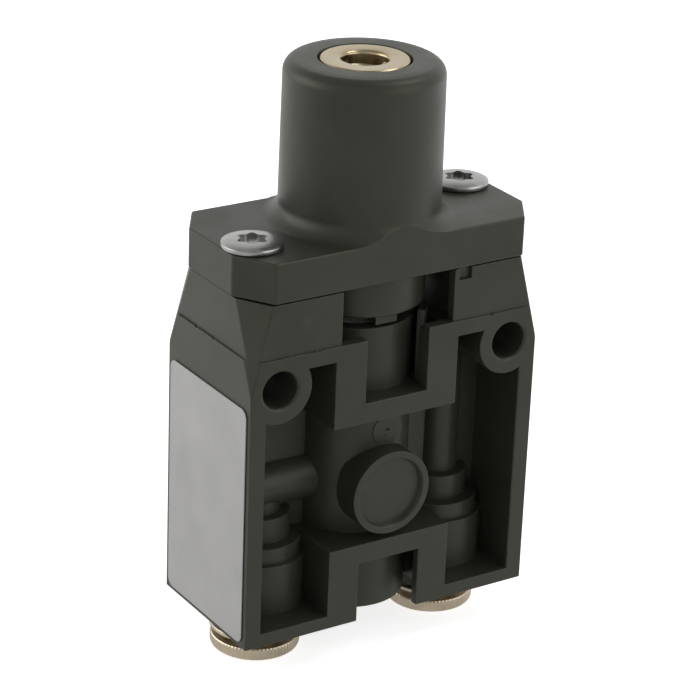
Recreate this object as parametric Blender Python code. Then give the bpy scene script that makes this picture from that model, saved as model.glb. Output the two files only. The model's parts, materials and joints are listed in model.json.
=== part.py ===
# Miniature 3/2 pneumatic pilot valve with spring return.
# A moulded body stands on the release rings of two push-in cartridges for 4 mm tube.
# A pilot cap with a threaded brass insert is screwed on top.
# Sizes are in millimetres and heights are measured from the underside of the body.
# X runs along the wide cored face, -Y is the front and Z is up.

import math

import bmesh
import bpy
from mathutils import Matrix, Vector

MM = 0.001

# How far the release rings stand below the body; the origin lies under them.
STAND = 4.6

# Clearances between separate pieces
SEAT_GAP = 0.3
SLIDE_GAP = 0.15

# How far a cutting solid reaches past the face that it opens
PAST = 1.0

# Body
BODY_WIDTH = 37.0
BODY_DEPTH = 17.8
LEDGE_HEIGHT = 34.2
LEDGE_STEP = 0.2
BODY_TOP = 40.2
CORNER_START = 30.15
SIDE_WALL = 2.0
BOTTOM_WALL = 1.6
TOP_WALL = 1.85
MID_WEB = 1.6

# U shaped window above, inverted U window below
WINDOW_HALF = 3.95
WINDOW_BLOCK_HALF = 7.93
UPPER_FLOOR = 26.75
UPPER_BLOCK_BOTTOM = 24.35
LOWER_ROOF = 7.15
LOWER_BLOCK_TOP = 9.55
UPPER_WINDOW_WALL = 2.0
LOWER_WINDOW_WALL = 1.0
UPPER_WELL_HALF = 6.95
LOWER_WELL_HALF = 7.1
WINDOW_CORNER = 0.6

# Hollow top of the body, open at the front and back
OPENING_HALF = 7.15
CHAMBER_HALF = 8.8
CHAMBER_WALL = 1.2
CHAMBER_FLOOR = 33.6

# Mounting holes through the body
MOUNT_X = 14.8
MOUNT_Z = 30.5
MOUNT_RADIUS = 2.1
MOUNT_BOSS_RADIUS = 3.9

# Central spool tube
TUBE_TOP_RADIUS = 6.45
TUBE_FOOT_RADIUS = 6.75
TUBE_BORE = 4.7
TUBE_FLOOR = 3.0
TUBE_FOOT = 0.1
HORN_RADIUS = 8.1
HORN_THICKNESS = 0.9
HORN_FROM_DEGREES = -52
HORN_TO_DEGREES = -34

# Round pad on the front of the tube, where an ejector pin pushed
PAD_X = 0.6
PAD_Z = 21.7
PAD_RADIUS = 1.9
PAD_FACE = 6.62
PAD_ROOT = 5.2

# Round blind boss on the front of the tube
FRONT_BOSS_Z = 15.1
FRONT_BOSS_RADIUS = 4.97
FRONT_BOSS_RIM = 0.8
FRONT_BOSS_SINK = 0.7
FRONT_BOSS_DRAFT = 0.3
FRONT_BOSS_ROOT = 5.2

# Cartridge towers and air ducts
PORT_X = 11.9
TOWER_STEPS = [(5.55, 7.4), (4.95, 9.3), (3.6, 12.2)]
PORT_BORE = 4.45
PORT_BORE_TOP = 7.0
COLLAR_RADIUS = 5.0
COLLAR_DROP = 1.4
DUCT_RADIUS = 1.2
DUCT_WALL = 1.2
DUCT_TOP_WALL = 1.7
CROSS_BORE_RADIUS = 1.17
LEFT_DUCT_EXTRA_WALL = 0.2
LEFT_DUCT_REACH = 2.0
LEFT_DUCT_Z = FRONT_BOSS_Z
RIGHT_DUCT_Z = 28.5

# Pilot cap
PLATE_WIDTH = 37.3
PLATE_DEPTH = 18.0
PLATE_BOTTOM = BODY_TOP + SEAT_GAP
PLATE_TOP = 45.1
PLATE_EDGE_ROUND = 0.4
CORNER_X = 2.8
CORNER_Y = 4.4
CAP_RADIUS = 8.95
CAP_TOP = 62.85
CAP_RIM_ROUND = 1.5
CAP_FOOT_ROUND = 1.9
PILOT_BORE = 6.2
PILOT_ROOF = 55.2
INSERT_RADIUS = 4.85
INSERT_BOTTOM = 56.6
INSERT_SEAT_RADIUS = 3.4
THREAD_RADIUS = 2.1
THREAD_MOUTH_RADIUS = 2.75

# Cap screws stand on a diagonal of the plate
SCREW_X = 15.4
SCREW_Y = 3.2
SCREW_HEAD_RADIUS = 3.35
SCREW_HEAD_RIM = 0.55
SCREW_HEAD_CROWN = 0.95
SCREW_HEAD_SLOPE = 0.45
SCREW_SHANK_RADIUS = 1.3
SCREW_POINT = 1.4
SCREW_SOCKET_RADIUS = 1.25
SCREW_SOCKET_FLOOR = -0.35
SCREW_END = 36.2

# Exhaust spacer that stands on the tube
SPACER_RADIUS = 7.6
SPACER_BOTTOM = 35.8
SPACER_HOLE = 2.4
SPACER_LEG_HALF = 1.4
SPACER_LEG_INNER = 4.1
SPACER_LEG_OUTER = 6.3
SPACER_SPIGOT_TOP = 43.4
SPACER_RING_Z = 41.8
SPACER_GROOVE_DEPTH = 0.9
SPACER_GROOVE_HALF = 0.6

# Pilot piston, above the spacer by the stroke and a little more
STROKE = 2.0
PISTON_BOTTOM = SPACER_SPIGOT_TOP + STROKE + 0.8
PISTON_RADIUS = PILOT_BORE - 0.2
PISTON_HEIGHT = 4.0
PISTON_GROOVE = (1.2, 2.7)
PISTON_GROOVE_DEPTH = 1.1
PISTON_STEM_RADIUS = 1.9
PISTON_NUB_RADIUS = 2.6

# Spool stack
SPOOL_RADIUS = 2.0
SPOOL_GROOVE_RADIUS = 1.4
SPOOL_BOTTOM = 10.3
SPOOL_TOP = 37.2
SPOOL_FOOT_RADIUS = 3.4
SPOOL_FOOT_HEIGHT = 0.8
STACK_RADIUS = TUBE_BORE - SLIDE_GAP
SEAL_HOLE = SPOOL_RADIUS + 0.12
LOWER_SEAL_Z = 13.0
MIDDLE_SEAL_Z = 19.4
UPPER_SEAL_Z = 31.8
SEAL_HEIGHT = 1.0
SEAL_GAP = 0.25
BUSH_HEIGHT = 1.0
CAGE_WINDOW_RADIUS = 1.1

# Return spring
SPRING_TURNS = 5.5
SPRING_RADIUS = 2.75
SPRING_WIRE = 0.28
SPRING_STEPS_PER_TURN = 16
SPRING_SECTION_STEPS = 6

# Cartridge pieces
FLANGE_RADIUS = 5.2
FLANGE_THICKNESS = 0.5
SLEEVE_RADIUS = PORT_BORE - SLIDE_GAP
RING_RADIUS = 5.1
RING_TRAVEL = 0.7
TUBE_HOLE = 2.05
FLANGE_TOP = -COLLAR_DROP - SEAT_GAP
FLANGE_BOTTOM = FLANGE_TOP - FLANGE_THICKNESS
SLEEVE_INNER = 3.4
SLEEVE_TOP = PORT_BORE_TOP - SEAT_GAP
SLEEVE_MOUTH = 1.5
RING_TOP = FLANGE_BOTTOM - RING_TRAVEL - 0.2
RING_BOTTOM = -STAND
COLLET_RADIUS = 3.0
COLLET_TOP = 1.0
CLAW_BOTTOM = COLLET_TOP + RING_TRAVEL + SLIDE_GAP
CLAW_THICKNESS = 0.25
TUBE_SEAL_Z = 3.2
TUBE_SEAL_SECTION = 0.6
OUTER_SEAL_Z = 5.5
OUTER_SEAL_SECTION = 0.42
GROOVE_HALF = 0.55
SLEEVE_ROOF = 0.6
SLEEVE_TUBE_GAP = 0.1
SEAL_ROOM_TOP = TUBE_SEAL_Z + 0.85

# Label on the left side
LABEL_DEPTH = 16.4
LABEL_BOTTOM = 0.6
LABEL_TOP = 28.6
LABEL_CORNER = 1.0
LABEL_THICKNESS = 0.12
LABEL_GAP = 0.05

# How many flat sides a round shape gets
CAP_STEPS = 56
TUBE_STEPS = 44
ROUND_STEPS = 32
INNER_STEPS = 20
SECTION_STEPS = 8
SHARP_ANGLE = 32


def clear_scene():
    for old in list(bpy.data.objects):
        bpy.data.objects.remove(old, do_unlink=True)


def make_material(name, colour, roughness, metallic=0.0):
    material = bpy.data.materials.new(name)
    material.use_nodes = True
    shader = material.node_tree.nodes["Principled BSDF"]
    shader.inputs["Base Color"].default_value = (*colour, 1.0)
    shader.inputs["Roughness"].default_value = roughness
    shader.inputs["Metallic"].default_value = metallic
    return material


# Turns a mesh drawn in millimetres into an object that stands at a place on the valve.
def add_object(name, builder, material=None, at=(0.0, 0.0, 0.0), smooth=True):
    bmesh.ops.recalc_face_normals(builder, faces=builder.faces)
    bmesh.ops.scale(builder, vec=(MM, MM, MM), verts=builder.verts)
    mesh = bpy.data.meshes.new(name)
    builder.to_mesh(mesh)
    builder.free()
    obj = bpy.data.objects.new(name, mesh)
    bpy.context.scene.collection.objects.link(obj)
    obj.location = (at[0] * MM, at[1] * MM, (at[2] + STAND) * MM)
    if material is not None:
        mesh.materials.append(material)
    if smooth:
        mesh.shade_smooth()
        mesh.set_sharp_from_angle(angle=math.radians(SHARP_ANGLE))
    return obj


# One Boolean modifier works on a whole group of solids at once.
def combine(target, group_name, solids, operation):
    group = bpy.data.collections.new(group_name)
    bpy.context.scene.collection.children.link(group)
    for solid in solids:
        bpy.context.scene.collection.objects.unlink(solid)
        group.objects.link(solid)
        solid.hide_render = True
        solid.display_type = "WIRE"
    modifier = target.modifiers.new(group_name, "BOOLEAN")
    modifier.operation = operation
    modifier.solver = "EXACT"
    modifier.operand_type = "COLLECTION"
    modifier.collection = group


def join(target, group_name, *solids):
    combine(target, group_name, solids, "UNION")


def cut(target, group_name, *solids):
    combine(target, group_name, solids, "DIFFERENCE")


# A closed outline in one plane, pushed along the axis named.
def pushed(outline, start, end, axis):
    corners = {
        "X": lambda a, b: (start, a, b),
        "Y": lambda a, b: (a, start, b),
        "Z": lambda a, b: (a, b, start),
    }
    builder = bmesh.new()
    face = builder.faces.new([builder.verts.new(corners[axis](a, b)) for a, b in outline])
    result = bmesh.ops.extrude_face_region(builder, geom=[face])
    moved = [item for item in result["geom"] if isinstance(item, bmesh.types.BMVert)]
    direction = Vector((axis == "X", axis == "Y", axis == "Z")) * (end - start)
    bmesh.ops.translate(builder, vec=direction, verts=moved)
    return builder


def rectangle(left, right, bottom, top):
    return [(left, bottom), (right, bottom), (right, top), (left, top)]


def box(name, x, y, z):
    return add_object(name, pushed(rectangle(*x, *y), z[0], z[1], "Z"), smooth=False)


def arc(centre, radius, start_degrees, end_degrees, steps):
    points = []
    for step in range(steps + 1):
        angle = math.radians(start_degrees + (end_degrees - start_degrees) * step / steps)
        points.append((centre[0] + radius * math.cos(angle), centre[1] + radius * math.sin(angle)))
    return points


# A profile of (radius, height) points turned about Z.
# One that starts and ends on the axis makes a plug, any other closes into a ring.
def turned(profile, steps=ROUND_STEPS):
    builder = bmesh.new()
    rings = []
    for radius, height in profile:
        if radius == 0:
            rings.append([builder.verts.new((0.0, 0.0, height))])
            continue
        corners = arc((0.0, 0.0), radius, 0, 360, steps)[:-1]
        rings.append([builder.verts.new((x, y, height)) for x, y in corners])
    pairs = list(zip(rings, rings[1:]))
    if len(rings[0]) > 1:
        pairs.append((rings[-1], rings[0]))
    for lower, upper in pairs:
        for step in range(steps):
            after = (step + 1) % steps
            if len(lower) == 1:
                builder.faces.new((lower[0], upper[after], upper[step]))
            elif len(upper) == 1:
                builder.faces.new((lower[step], lower[after], upper[0]))
            else:
                builder.faces.new((lower[step], lower[after], upper[after], upper[step]))
    return builder


def rod(radius, bottom, top, steps=INNER_STEPS):
    return turned([(0, bottom), (radius, bottom), (radius, top), (0, top)], steps)


def lay_along(builder, axis):
    about = {"X": "Y", "Y": "X"}[axis]
    angle = {"X": math.radians(90), "Y": math.radians(-90)}[axis]
    bmesh.ops.rotate(builder, verts=builder.verts, matrix=Matrix.Rotation(angle, 3, about))
    return builder


# Ring of round section, such as an O-ring, with its middle at height 0.
def o_ring(name, ring_radius, section, material, at):
    profile = arc((ring_radius, 0.0), section, 0, 360, SECTION_STEPS)[:-1]
    return add_object(name, turned(profile, INNER_STEPS), material, at)


def mirrored(outline):
    return [(-x, z) for x, z in reversed(outline)]


# Body

# Outline of a pocket between the frame walls, on the cored face.
# The round mounting bosses stay standing in its two upper corners.
def pocket_outline():
    side = BODY_WIDTH / 2 - SIDE_WALL
    roof = LEDGE_HEIGHT - TOP_WALL
    boss = (MOUNT_X, MOUNT_Z)
    side_angle = -math.degrees(math.acos((side - MOUNT_X) / MOUNT_BOSS_RADIUS))
    roof_angle = -180 - math.degrees(math.asin((roof - MOUNT_Z) / MOUNT_BOSS_RADIUS))
    right = [(WINDOW_BLOCK_HALF, BOTTOM_WALL), (side, BOTTOM_WALL)]
    right += arc(boss, MOUNT_BOSS_RADIUS, side_angle, roof_angle, 12)
    right += [(WINDOW_BLOCK_HALF, roof), (WINDOW_BLOCK_HALF, UPPER_BLOCK_BOTTOM)]
    left = mirrored(right)
    return right + left + [(-WINDOW_BLOCK_HALF, LOWER_BLOCK_TOP), (WINDOW_BLOCK_HALF, LOWER_BLOCK_TOP)]


# Outline of the window in the front wall above the tube, with rounded upper corners.
def upper_window_outline():
    top = LEDGE_HEIGHT
    corner = (WINDOW_HALF + WINDOW_CORNER, top - WINDOW_CORNER)
    right = [(WINDOW_HALF, UPPER_FLOOR)] + arc(corner, WINDOW_CORNER, 180, 90, 4)
    right += [(corner[0], top + PAST)]
    return right + mirrored(right)


# Cuts the four upper corners, from nothing at CORNER_START to the full cut at the plate.
def cut_corners(builder):
    for side in (-1, 1):
        for face in (-1, 1):
            foot = Vector((side * BODY_WIDTH / 2, face * BODY_DEPTH / 2, CORNER_START))
            on_side = Vector((side * BODY_WIDTH / 2, face * (BODY_DEPTH / 2 - CORNER_Y), PLATE_BOTTOM))
            on_face = Vector((side * (BODY_WIDTH / 2 - CORNER_X), face * BODY_DEPTH / 2, PLATE_BOTTOM))
            normal = (on_side - foot).cross(on_face - foot).normalized()
            if normal.x * side < 0:
                normal = -normal
            everything = builder.verts[:] + builder.edges[:] + builder.faces[:]
            result = bmesh.ops.bisect_plane(
                builder, geom=everything, plane_co=foot, plane_no=normal, clear_outer=True, dist=0.0001
            )
            rim = [item for item in result["geom_cut"] if isinstance(item, bmesh.types.BMEdge)]
            bmesh.ops.contextual_create(builder, geom=rim)
    return builder


def body_shell():
    half_width = BODY_WIDTH / 2
    half_depth = BODY_DEPTH / 2
    lower = pushed(rectangle(-half_width, half_width, -half_depth, half_depth), 0, LEDGE_HEIGHT, "Z")
    shell = add_object("valve_body", cut_corners(lower), smooth=False)
    half_width -= LEDGE_STEP
    half_depth -= LEDGE_STEP
    upper = pushed(rectangle(-half_width, half_width, -half_depth, half_depth), CORNER_START, BODY_TOP, "Z")
    join(shell, "Upper_block", add_object("upper_block", cut_corners(upper), smooth=False))
    return shell


# The hollows are cut alike from the front and from the back and leave a web in the middle.
def cut_hollows(body):
    inside = BODY_DEPTH / 2
    outside = inside + PAST
    web = MID_WEB / 2
    behind_window = inside - LOWER_WINDOW_WALL
    lower_window = rectangle(-WINDOW_HALF, WINDOW_HALF, -PAST, LOWER_ROOF)
    lower_well = rectangle(-LOWER_WELL_HALF, LOWER_WELL_HALF, -PAST, LOWER_ROOF)
    hollows = []
    for side, name in ((-1, "front"), (1, "back")):
        shapes = {
            "pocket": (pocket_outline(), outside, web),
            "upper_window": (upper_window_outline(), outside, inside - UPPER_WINDOW_WALL - PAST),
            "lower_window": (lower_window, outside, behind_window - PAST),
            "lower_well": (lower_well, behind_window, web),
        }
        for shape, (outline, near, far) in shapes.items():
            solid = pushed(outline, side * near, side * far, "Y")
            hollows.append(add_object(name + "_" + shape, solid, smooth=False))
    well = inside - UPPER_WINDOW_WALL
    chamber = inside - LEDGE_STEP - CHAMBER_WALL
    for name, half_width, half_depth, floor in (
        ("upper_well", UPPER_WELL_HALF, well, UPPER_FLOOR),
        ("top_opening", OPENING_HALF, outside, LEDGE_HEIGHT),
        ("chamber", CHAMBER_HALF, chamber, CHAMBER_FLOOR),
    ):
        across = (-half_width, half_width)
        hollows.append(box(name, across, (-half_depth, half_depth), (floor, BODY_TOP + PAST)))
    cut(body, "Hollows", *hollows)


# Stepped tower round a cartridge, with its collar below and the wall of its air duct above.
def tower(name, side, duct_z):
    profile = [(0, -COLLAR_DROP), (COLLAR_RADIUS, -COLLAR_DROP), (COLLAR_RADIUS, 0.0)]
    height = 0.0
    for radius, top in TOWER_STEPS + [(DUCT_RADIUS + DUCT_WALL, duct_z + DUCT_TOP_WALL)]:
        profile += [(radius, height), (radius, top)]
        height = top
    profile += [(0, height)]
    return add_object(name, turned(profile), at=(side * PORT_X, 0, 0))


# Curved horn beside the tube that keeps the exhaust spacer central.
def horn(name, side):
    inner = arc((0, 0), HORN_RADIUS - HORN_THICKNESS, HORN_FROM_DEGREES, HORN_TO_DEGREES, 4)
    outer = arc((0, 0), HORN_RADIUS, HORN_TO_DEGREES, HORN_FROM_DEGREES, 4)
    outline = [(side * x, side * y) for x, y in inner + outer]
    foot = UPPER_FLOOR - HORN_THICKNESS
    return add_object(name, pushed(outline, foot, LEDGE_HEIGHT + HORN_THICKNESS, "Z"))


# A profile of (radius, reach) points turned about the line that leaves the tube's front at a height.
def on_the_front(name, profile, x, z):
    builder = turned(profile)
    lay_along(builder, "Y")
    bmesh.ops.scale(builder, vec=(1, -1, 1), verts=builder.verts)
    return add_object(name, builder, at=(x, 0, z))


def front_boss():
    face = BODY_DEPTH / 2
    sunk = face - FRONT_BOSS_SINK
    recess = FRONT_BOSS_RADIUS - FRONT_BOSS_RIM
    profile = [(0, FRONT_BOSS_ROOT), (FRONT_BOSS_RADIUS, FRONT_BOSS_ROOT), (FRONT_BOSS_RADIUS, face)]
    profile += [(recess, face), (recess - FRONT_BOSS_DRAFT, sunk), (0, sunk)]
    return on_the_front("front_boss", profile, 0, FRONT_BOSS_Z)


def ejector_pad():
    profile = [(0, PAD_ROOT), (PAD_RADIUS, PAD_ROOT), (PAD_RADIUS, PAD_FACE), (0, PAD_FACE)]
    return on_the_front("ejector_pad", profile, PAD_X, PAD_Z)


def add_inner_shapes(body):
    tube = [(0, TUBE_FOOT), (TUBE_FOOT_RADIUS, TUBE_FOOT)]
    tube += [(TUBE_TOP_RADIUS, LEDGE_HEIGHT), (0, LEDGE_HEIGHT)]
    outer = DUCT_RADIUS + DUCT_WALL
    reach = PORT_X + LEFT_DUCT_REACH
    left_duct = lay_along(rod(outer + LEFT_DUCT_EXTRA_WALL, 0, reach), "X")
    right_duct = lay_along(rod(outer, 0, PORT_X), "X")
    join(
        body,
        "Inner_shapes",
        add_object("tube", turned(tube, TUBE_STEPS)),
        tower("left_tower", -1, LEFT_DUCT_Z),
        tower("right_tower", 1, RIGHT_DUCT_Z),
        add_object("left_duct", left_duct, at=(-reach, 0, LEFT_DUCT_Z)),
        add_object("right_duct", right_duct, at=(0, 0, RIGHT_DUCT_Z)),
        horn("right_horn", 1),
        horn("left_horn", -1),
        front_boss(),
        ejector_pad(),
    )


def cut_bores(body):
    bores = [add_object("spool_bore", rod(TUBE_BORE, TUBE_FLOOR, BODY_TOP, ROUND_STEPS))]
    mouth = -COLLAR_DROP - PAST
    overlap = PAST / 2
    for side, name, duct_z in ((-1, "left", LEFT_DUCT_Z), (1, "right", RIGHT_DUCT_Z)):
        profile = [(0, mouth), (PORT_BORE, mouth), (PORT_BORE, PORT_BORE_TOP), (DUCT_RADIUS, PORT_BORE_TOP)]
        profile += [(DUCT_RADIUS, duct_z + DUCT_RADIUS), (0, duct_z + DUCT_RADIUS)]
        bores.append(add_object(name + "_port_bore", turned(profile), at=(side * PORT_X, 0, 0)))
        across = lay_along(rod(CROSS_BORE_RADIUS, 0, PORT_X - TUBE_BORE + overlap, 12), "X")
        start = -PORT_X if side < 0 else TUBE_BORE - overlap
        bores.append(add_object(name + "_cross_bore", across, at=(start, 0, duct_z)))
        hole = lay_along(rod(MOUNT_RADIUS, -BODY_DEPTH, BODY_DEPTH, ROUND_STEPS), "Y")
        bores.append(add_object(name + "_mount_hole", hole, at=(side * MOUNT_X, 0, MOUNT_Z)))
        screw_hole = rod(SCREW_SHANK_RADIUS + SLIDE_GAP, SCREW_END - SEAT_GAP, BODY_TOP + PAST)
        bores.append(add_object(name + "_screw_hole", screw_hole, at=(side * SCREW_X, side * SCREW_Y, 0)))
    cut(body, "Bores", *bores)


def make_body(material):
    body = body_shell()
    cut_hollows(body)
    add_inner_shapes(body)
    cut_bores(body)
    body.data.materials.append(material)
    return body


# Pilot cap

def plate_outline():
    half_width = PLATE_WIDTH / 2
    half_depth = PLATE_DEPTH / 2
    corner = [(half_width, half_depth - CORNER_Y), (half_width - CORNER_X, half_depth)]
    back = corner + mirrored(corner)
    return back + [(-x, -y) for x, y in back]


def make_cap(material):
    plate = pushed(plate_outline(), PLATE_BOTTOM, PLATE_TOP, "Z")
    cap = add_object("pilot_cap", plate, material, smooth=False)
    edges = cap.modifiers.new("Round_edges", "BEVEL")
    edges.width = PLATE_EDGE_ROUND * MM
    edges.segments = 2
    edges.limit_method = "ANGLE"
    edges.angle_limit = math.radians(30)
    foot = arc((CAP_RADIUS + CAP_FOOT_ROUND, PLATE_TOP + CAP_FOOT_ROUND), CAP_FOOT_ROUND, 270, 180, 6)
    rim = arc((CAP_RADIUS - CAP_RIM_ROUND, CAP_TOP - CAP_RIM_ROUND), CAP_RIM_ROUND, 0, 90, 5)
    inside_plate = PLATE_BOTTOM + PAST
    profile = [(0, inside_plate), (foot[0][0], inside_plate)] + foot + rim + [(0, CAP_TOP)]
    tower_of_cap = add_object("cap_tower", turned(profile, CAP_STEPS))
    flush = PLATE_DEPTH / 2 - 0.02
    trim = pushed(rectangle(-PLATE_WIDTH, PLATE_WIDTH, -flush, flush), PLATE_BOTTOM, CAP_TOP + PAST, "Z")
    combine(tower_of_cap, "Trim_to_plate", [add_object("cap_trim", trim, smooth=False)], "INTERSECT")
    join(cap, "Cap_tower", tower_of_cap)
    bore = [(0, PLATE_BOTTOM - PAST), (PILOT_BORE, PLATE_BOTTOM - PAST), (PILOT_BORE, PILOT_ROOF)]
    bore += [(INSERT_SEAT_RADIUS, PILOT_ROOF), (INSERT_SEAT_RADIUS, INSERT_BOTTOM - SEAT_GAP)]
    seat = INSERT_RADIUS + SEAT_GAP
    bore += [(seat, INSERT_BOTTOM - SEAT_GAP), (seat, CAP_TOP + PAST), (0, CAP_TOP + PAST)]
    bores = [add_object("cap_bore", turned(bore))]
    for side in (-1, 1):
        hole = rod(SCREW_SHANK_RADIUS + SEAT_GAP, PLATE_BOTTOM - PAST, PLATE_TOP + PAST)
        bores.append(add_object("cap_screw_hole", hole, at=(side * SCREW_X, side * SCREW_Y, 0)))
    cut(cap, "Cap_bores", *bores)
    return cap


def make_insert(material):
    height = CAP_TOP - INSERT_BOTTOM
    chamfer = THREAD_MOUTH_RADIUS - THREAD_RADIUS
    corner = 0.3
    profile = [(THREAD_RADIUS, 0), (INSERT_RADIUS - corner, 0), (INSERT_RADIUS, corner)]
    profile += [(INSERT_RADIUS, height - corner), (INSERT_RADIUS - corner, height)]
    profile += [(THREAD_MOUTH_RADIUS, height), (THREAD_RADIUS, height - chamfer)]
    return add_object("port_insert", turned(profile), material, at=(0, 0, INSERT_BOTTOM))


def make_screw(name, side, material):
    shank = SCREW_END - PLATE_TOP - SEAT_GAP
    slope = SCREW_HEAD_RADIUS - SCREW_HEAD_SLOPE
    flat = (slope + SCREW_SOCKET_RADIUS) / 2
    head = [(SCREW_HEAD_RADIUS, 0), (SCREW_HEAD_RADIUS, SCREW_HEAD_RIM)]
    head += [(slope, SCREW_HEAD_CROWN - 0.1), (flat, SCREW_HEAD_CROWN)]
    socket = [(SCREW_SOCKET_RADIUS, SCREW_HEAD_CROWN)]
    socket += [(SCREW_SOCKET_RADIUS - 0.2, SCREW_SOCKET_FLOOR), (0, SCREW_SOCKET_FLOOR)]
    profile = [(0, shank), (0.5, shank), (SCREW_SHANK_RADIUS, shank + SCREW_POINT), (SCREW_SHANK_RADIUS, 0)]
    place = (side * SCREW_X, side * SCREW_Y, PLATE_TOP + SEAT_GAP)
    return add_object(name, turned(profile + head + socket), material, at=place)


# Ring under the cap with four legs; the air leaves between the legs.
def make_spacer(material):
    top = PLATE_BOTTOM - SEAT_GAP
    spigot = PILOT_BORE - SLIDE_GAP
    groove = spigot - SPACER_GROOVE_DEPTH
    profile = [(SPACER_HOLE, SPACER_BOTTOM), (SPACER_RADIUS, SPACER_BOTTOM), (SPACER_RADIUS, top)]
    low = SPACER_RING_Z - SPACER_GROOVE_HALF
    high = SPACER_RING_Z + SPACER_GROOVE_HALF
    profile += [(spigot, top), (spigot, low), (groove, low), (groove, high), (spigot, high)]
    profile += [(spigot, SPACER_SPIGOT_TOP), (SPACER_HOLE, SPACER_SPIGOT_TOP)]
    spacer = add_object("exhaust_spacer", turned(profile), material)
    legs = []
    for turn in range(4):
        outline = rectangle(SPACER_LEG_INNER, SPACER_LEG_OUTER, -SPACER_LEG_HALF, SPACER_LEG_HALF)
        leg = pushed(outline, LEDGE_HEIGHT + SEAT_GAP, SPACER_BOTTOM + SEAT_GAP, "Z")
        quarter = Matrix.Rotation(math.radians(90 * turn), 3, "Z")
        bmesh.ops.rotate(leg, verts=leg.verts, matrix=quarter)
        legs.append(add_object("leg", leg, smooth=False))
    join(spacer, "Legs", *legs)
    return spacer


# Spool stack and piston

def make_spool(material):
    foot_top = SPOOL_BOTTOM + SPOOL_FOOT_HEIGHT
    profile = [(0, SPOOL_BOTTOM), (SPOOL_FOOT_RADIUS, SPOOL_BOTTOM)]
    profile += [(SPOOL_FOOT_RADIUS, foot_top), (SPOOL_RADIUS, foot_top)]
    for low, high in (
        (MIDDLE_SEAL_Z + 0.9, MIDDLE_SEAL_Z + 3.4),
        (UPPER_SEAL_Z - 1.2, UPPER_SEAL_Z + 1.3),
    ):
        profile += [(SPOOL_RADIUS, low), (SPOOL_GROOVE_RADIUS, low + 0.3)]
        profile += [(SPOOL_GROOVE_RADIUS, high - 0.3), (SPOOL_RADIUS, high)]
    profile += [(SPOOL_RADIUS, SPOOL_TOP - 0.3), (SPOOL_RADIUS - 0.3, SPOOL_TOP), (0, SPOOL_TOP)]
    lowered = [(radius, height - SPOOL_BOTTOM) for radius, height in profile]
    return add_object("spool", turned(lowered, INNER_STEPS), material, at=(0, 0, SPOOL_BOTTOM))


# The stem pushes on the spool; a nub on top leaves room for the pilot air.
def make_piston(material):
    stem_end = SPOOL_TOP + SEAT_GAP - PISTON_BOTTOM
    low, high = PISTON_GROOVE
    groove = PISTON_RADIUS - PISTON_GROOVE_DEPTH
    profile = [(0, stem_end), (PISTON_STEM_RADIUS, stem_end), (PISTON_STEM_RADIUS, 0), (PISTON_RADIUS, 0)]
    profile += [(PISTON_RADIUS, low), (groove, low), (groove, high), (PISTON_RADIUS, high)]
    profile += [(PISTON_RADIUS, PISTON_HEIGHT), (PISTON_NUB_RADIUS, PISTON_HEIGHT)]
    profile += [(PISTON_NUB_RADIUS, PISTON_HEIGHT + 1), (0, PISTON_HEIGHT + 1)]
    return add_object("pilot_piston", turned(profile, INNER_STEPS), material, at=(0, 0, PISTON_BOTTOM))


# Seal with two lips that lies in the piston's groove.
def make_piston_seal(material):
    outer = PILOT_BORE - 0.08
    inner = PISTON_RADIUS - PISTON_GROOVE_DEPTH + 0.1
    low = PISTON_GROOVE[0] + 0.15
    high = PISTON_GROOVE[1] - 0.15
    middle = (low + high) / 2
    profile = [(inner, low), (outer - 0.25, low), (outer, low + 0.3), (outer - 0.3, middle)]
    profile += [(outer, high - 0.3), (outer - 0.25, high), (inner, high)]
    return add_object("piston_seal", turned(profile, INNER_STEPS), material, at=(0, 0, PISTON_BOTTOM))


# Rounded square ring that seals on the bore outside and on the spool inside.
def make_spool_seal(name, middle, material):
    half = SEAL_HEIGHT / 2
    waist = (SEAL_HOLE + STACK_RADIUS) / 2
    lip = 0.3
    dip = 0.15
    profile = [(SEAL_HOLE, -dip), (SEAL_HOLE + lip, -half), (waist, -half + dip)]
    profile += [(STACK_RADIUS - lip, -half), (STACK_RADIUS, -dip), (STACK_RADIUS, dip)]
    profile += [(STACK_RADIUS - lip, half)]
    profile += [(waist, half - dip), (SEAL_HOLE + lip, half), (SEAL_HOLE, dip)]
    return add_object(name, turned(profile, INNER_STEPS), material, at=(0, 0, middle))


def make_bush(name, bottom, top, hole, material):
    profile = [(hole, 0), (STACK_RADIUS, 0), (STACK_RADIUS, top - bottom), (hole, top - bottom)]
    return add_object(name, turned(profile, INNER_STEPS), material, at=(0, 0, bottom))


# Spacer between two seals, with windows that let the air through all round.
def make_cage(name, bottom, top, material):
    height = top - bottom
    hole = SPOOL_RADIUS + 0.9
    groove = STACK_RADIUS - 0.5
    rim = 0.9
    profile = [(hole, 0), (STACK_RADIUS, 0), (STACK_RADIUS, rim), (groove, rim), (groove, height - rim)]
    profile += [(STACK_RADIUS, height - rim), (STACK_RADIUS, height), (hole, height)]
    cage = add_object(name, turned(profile, INNER_STEPS), material, at=(0, 0, bottom))
    middle = (bottom + top) / 2
    windows = []
    for axis in ("X", "Y"):
        window = lay_along(rod(CAGE_WINDOW_RADIUS, -TUBE_FOOT_RADIUS, TUBE_FOOT_RADIUS, 8), axis)
        windows.append(add_object(name + "_window", window, at=(0, 0, middle)))
    cut(cage, "Windows_" + name, *windows)
    return cage


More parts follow.
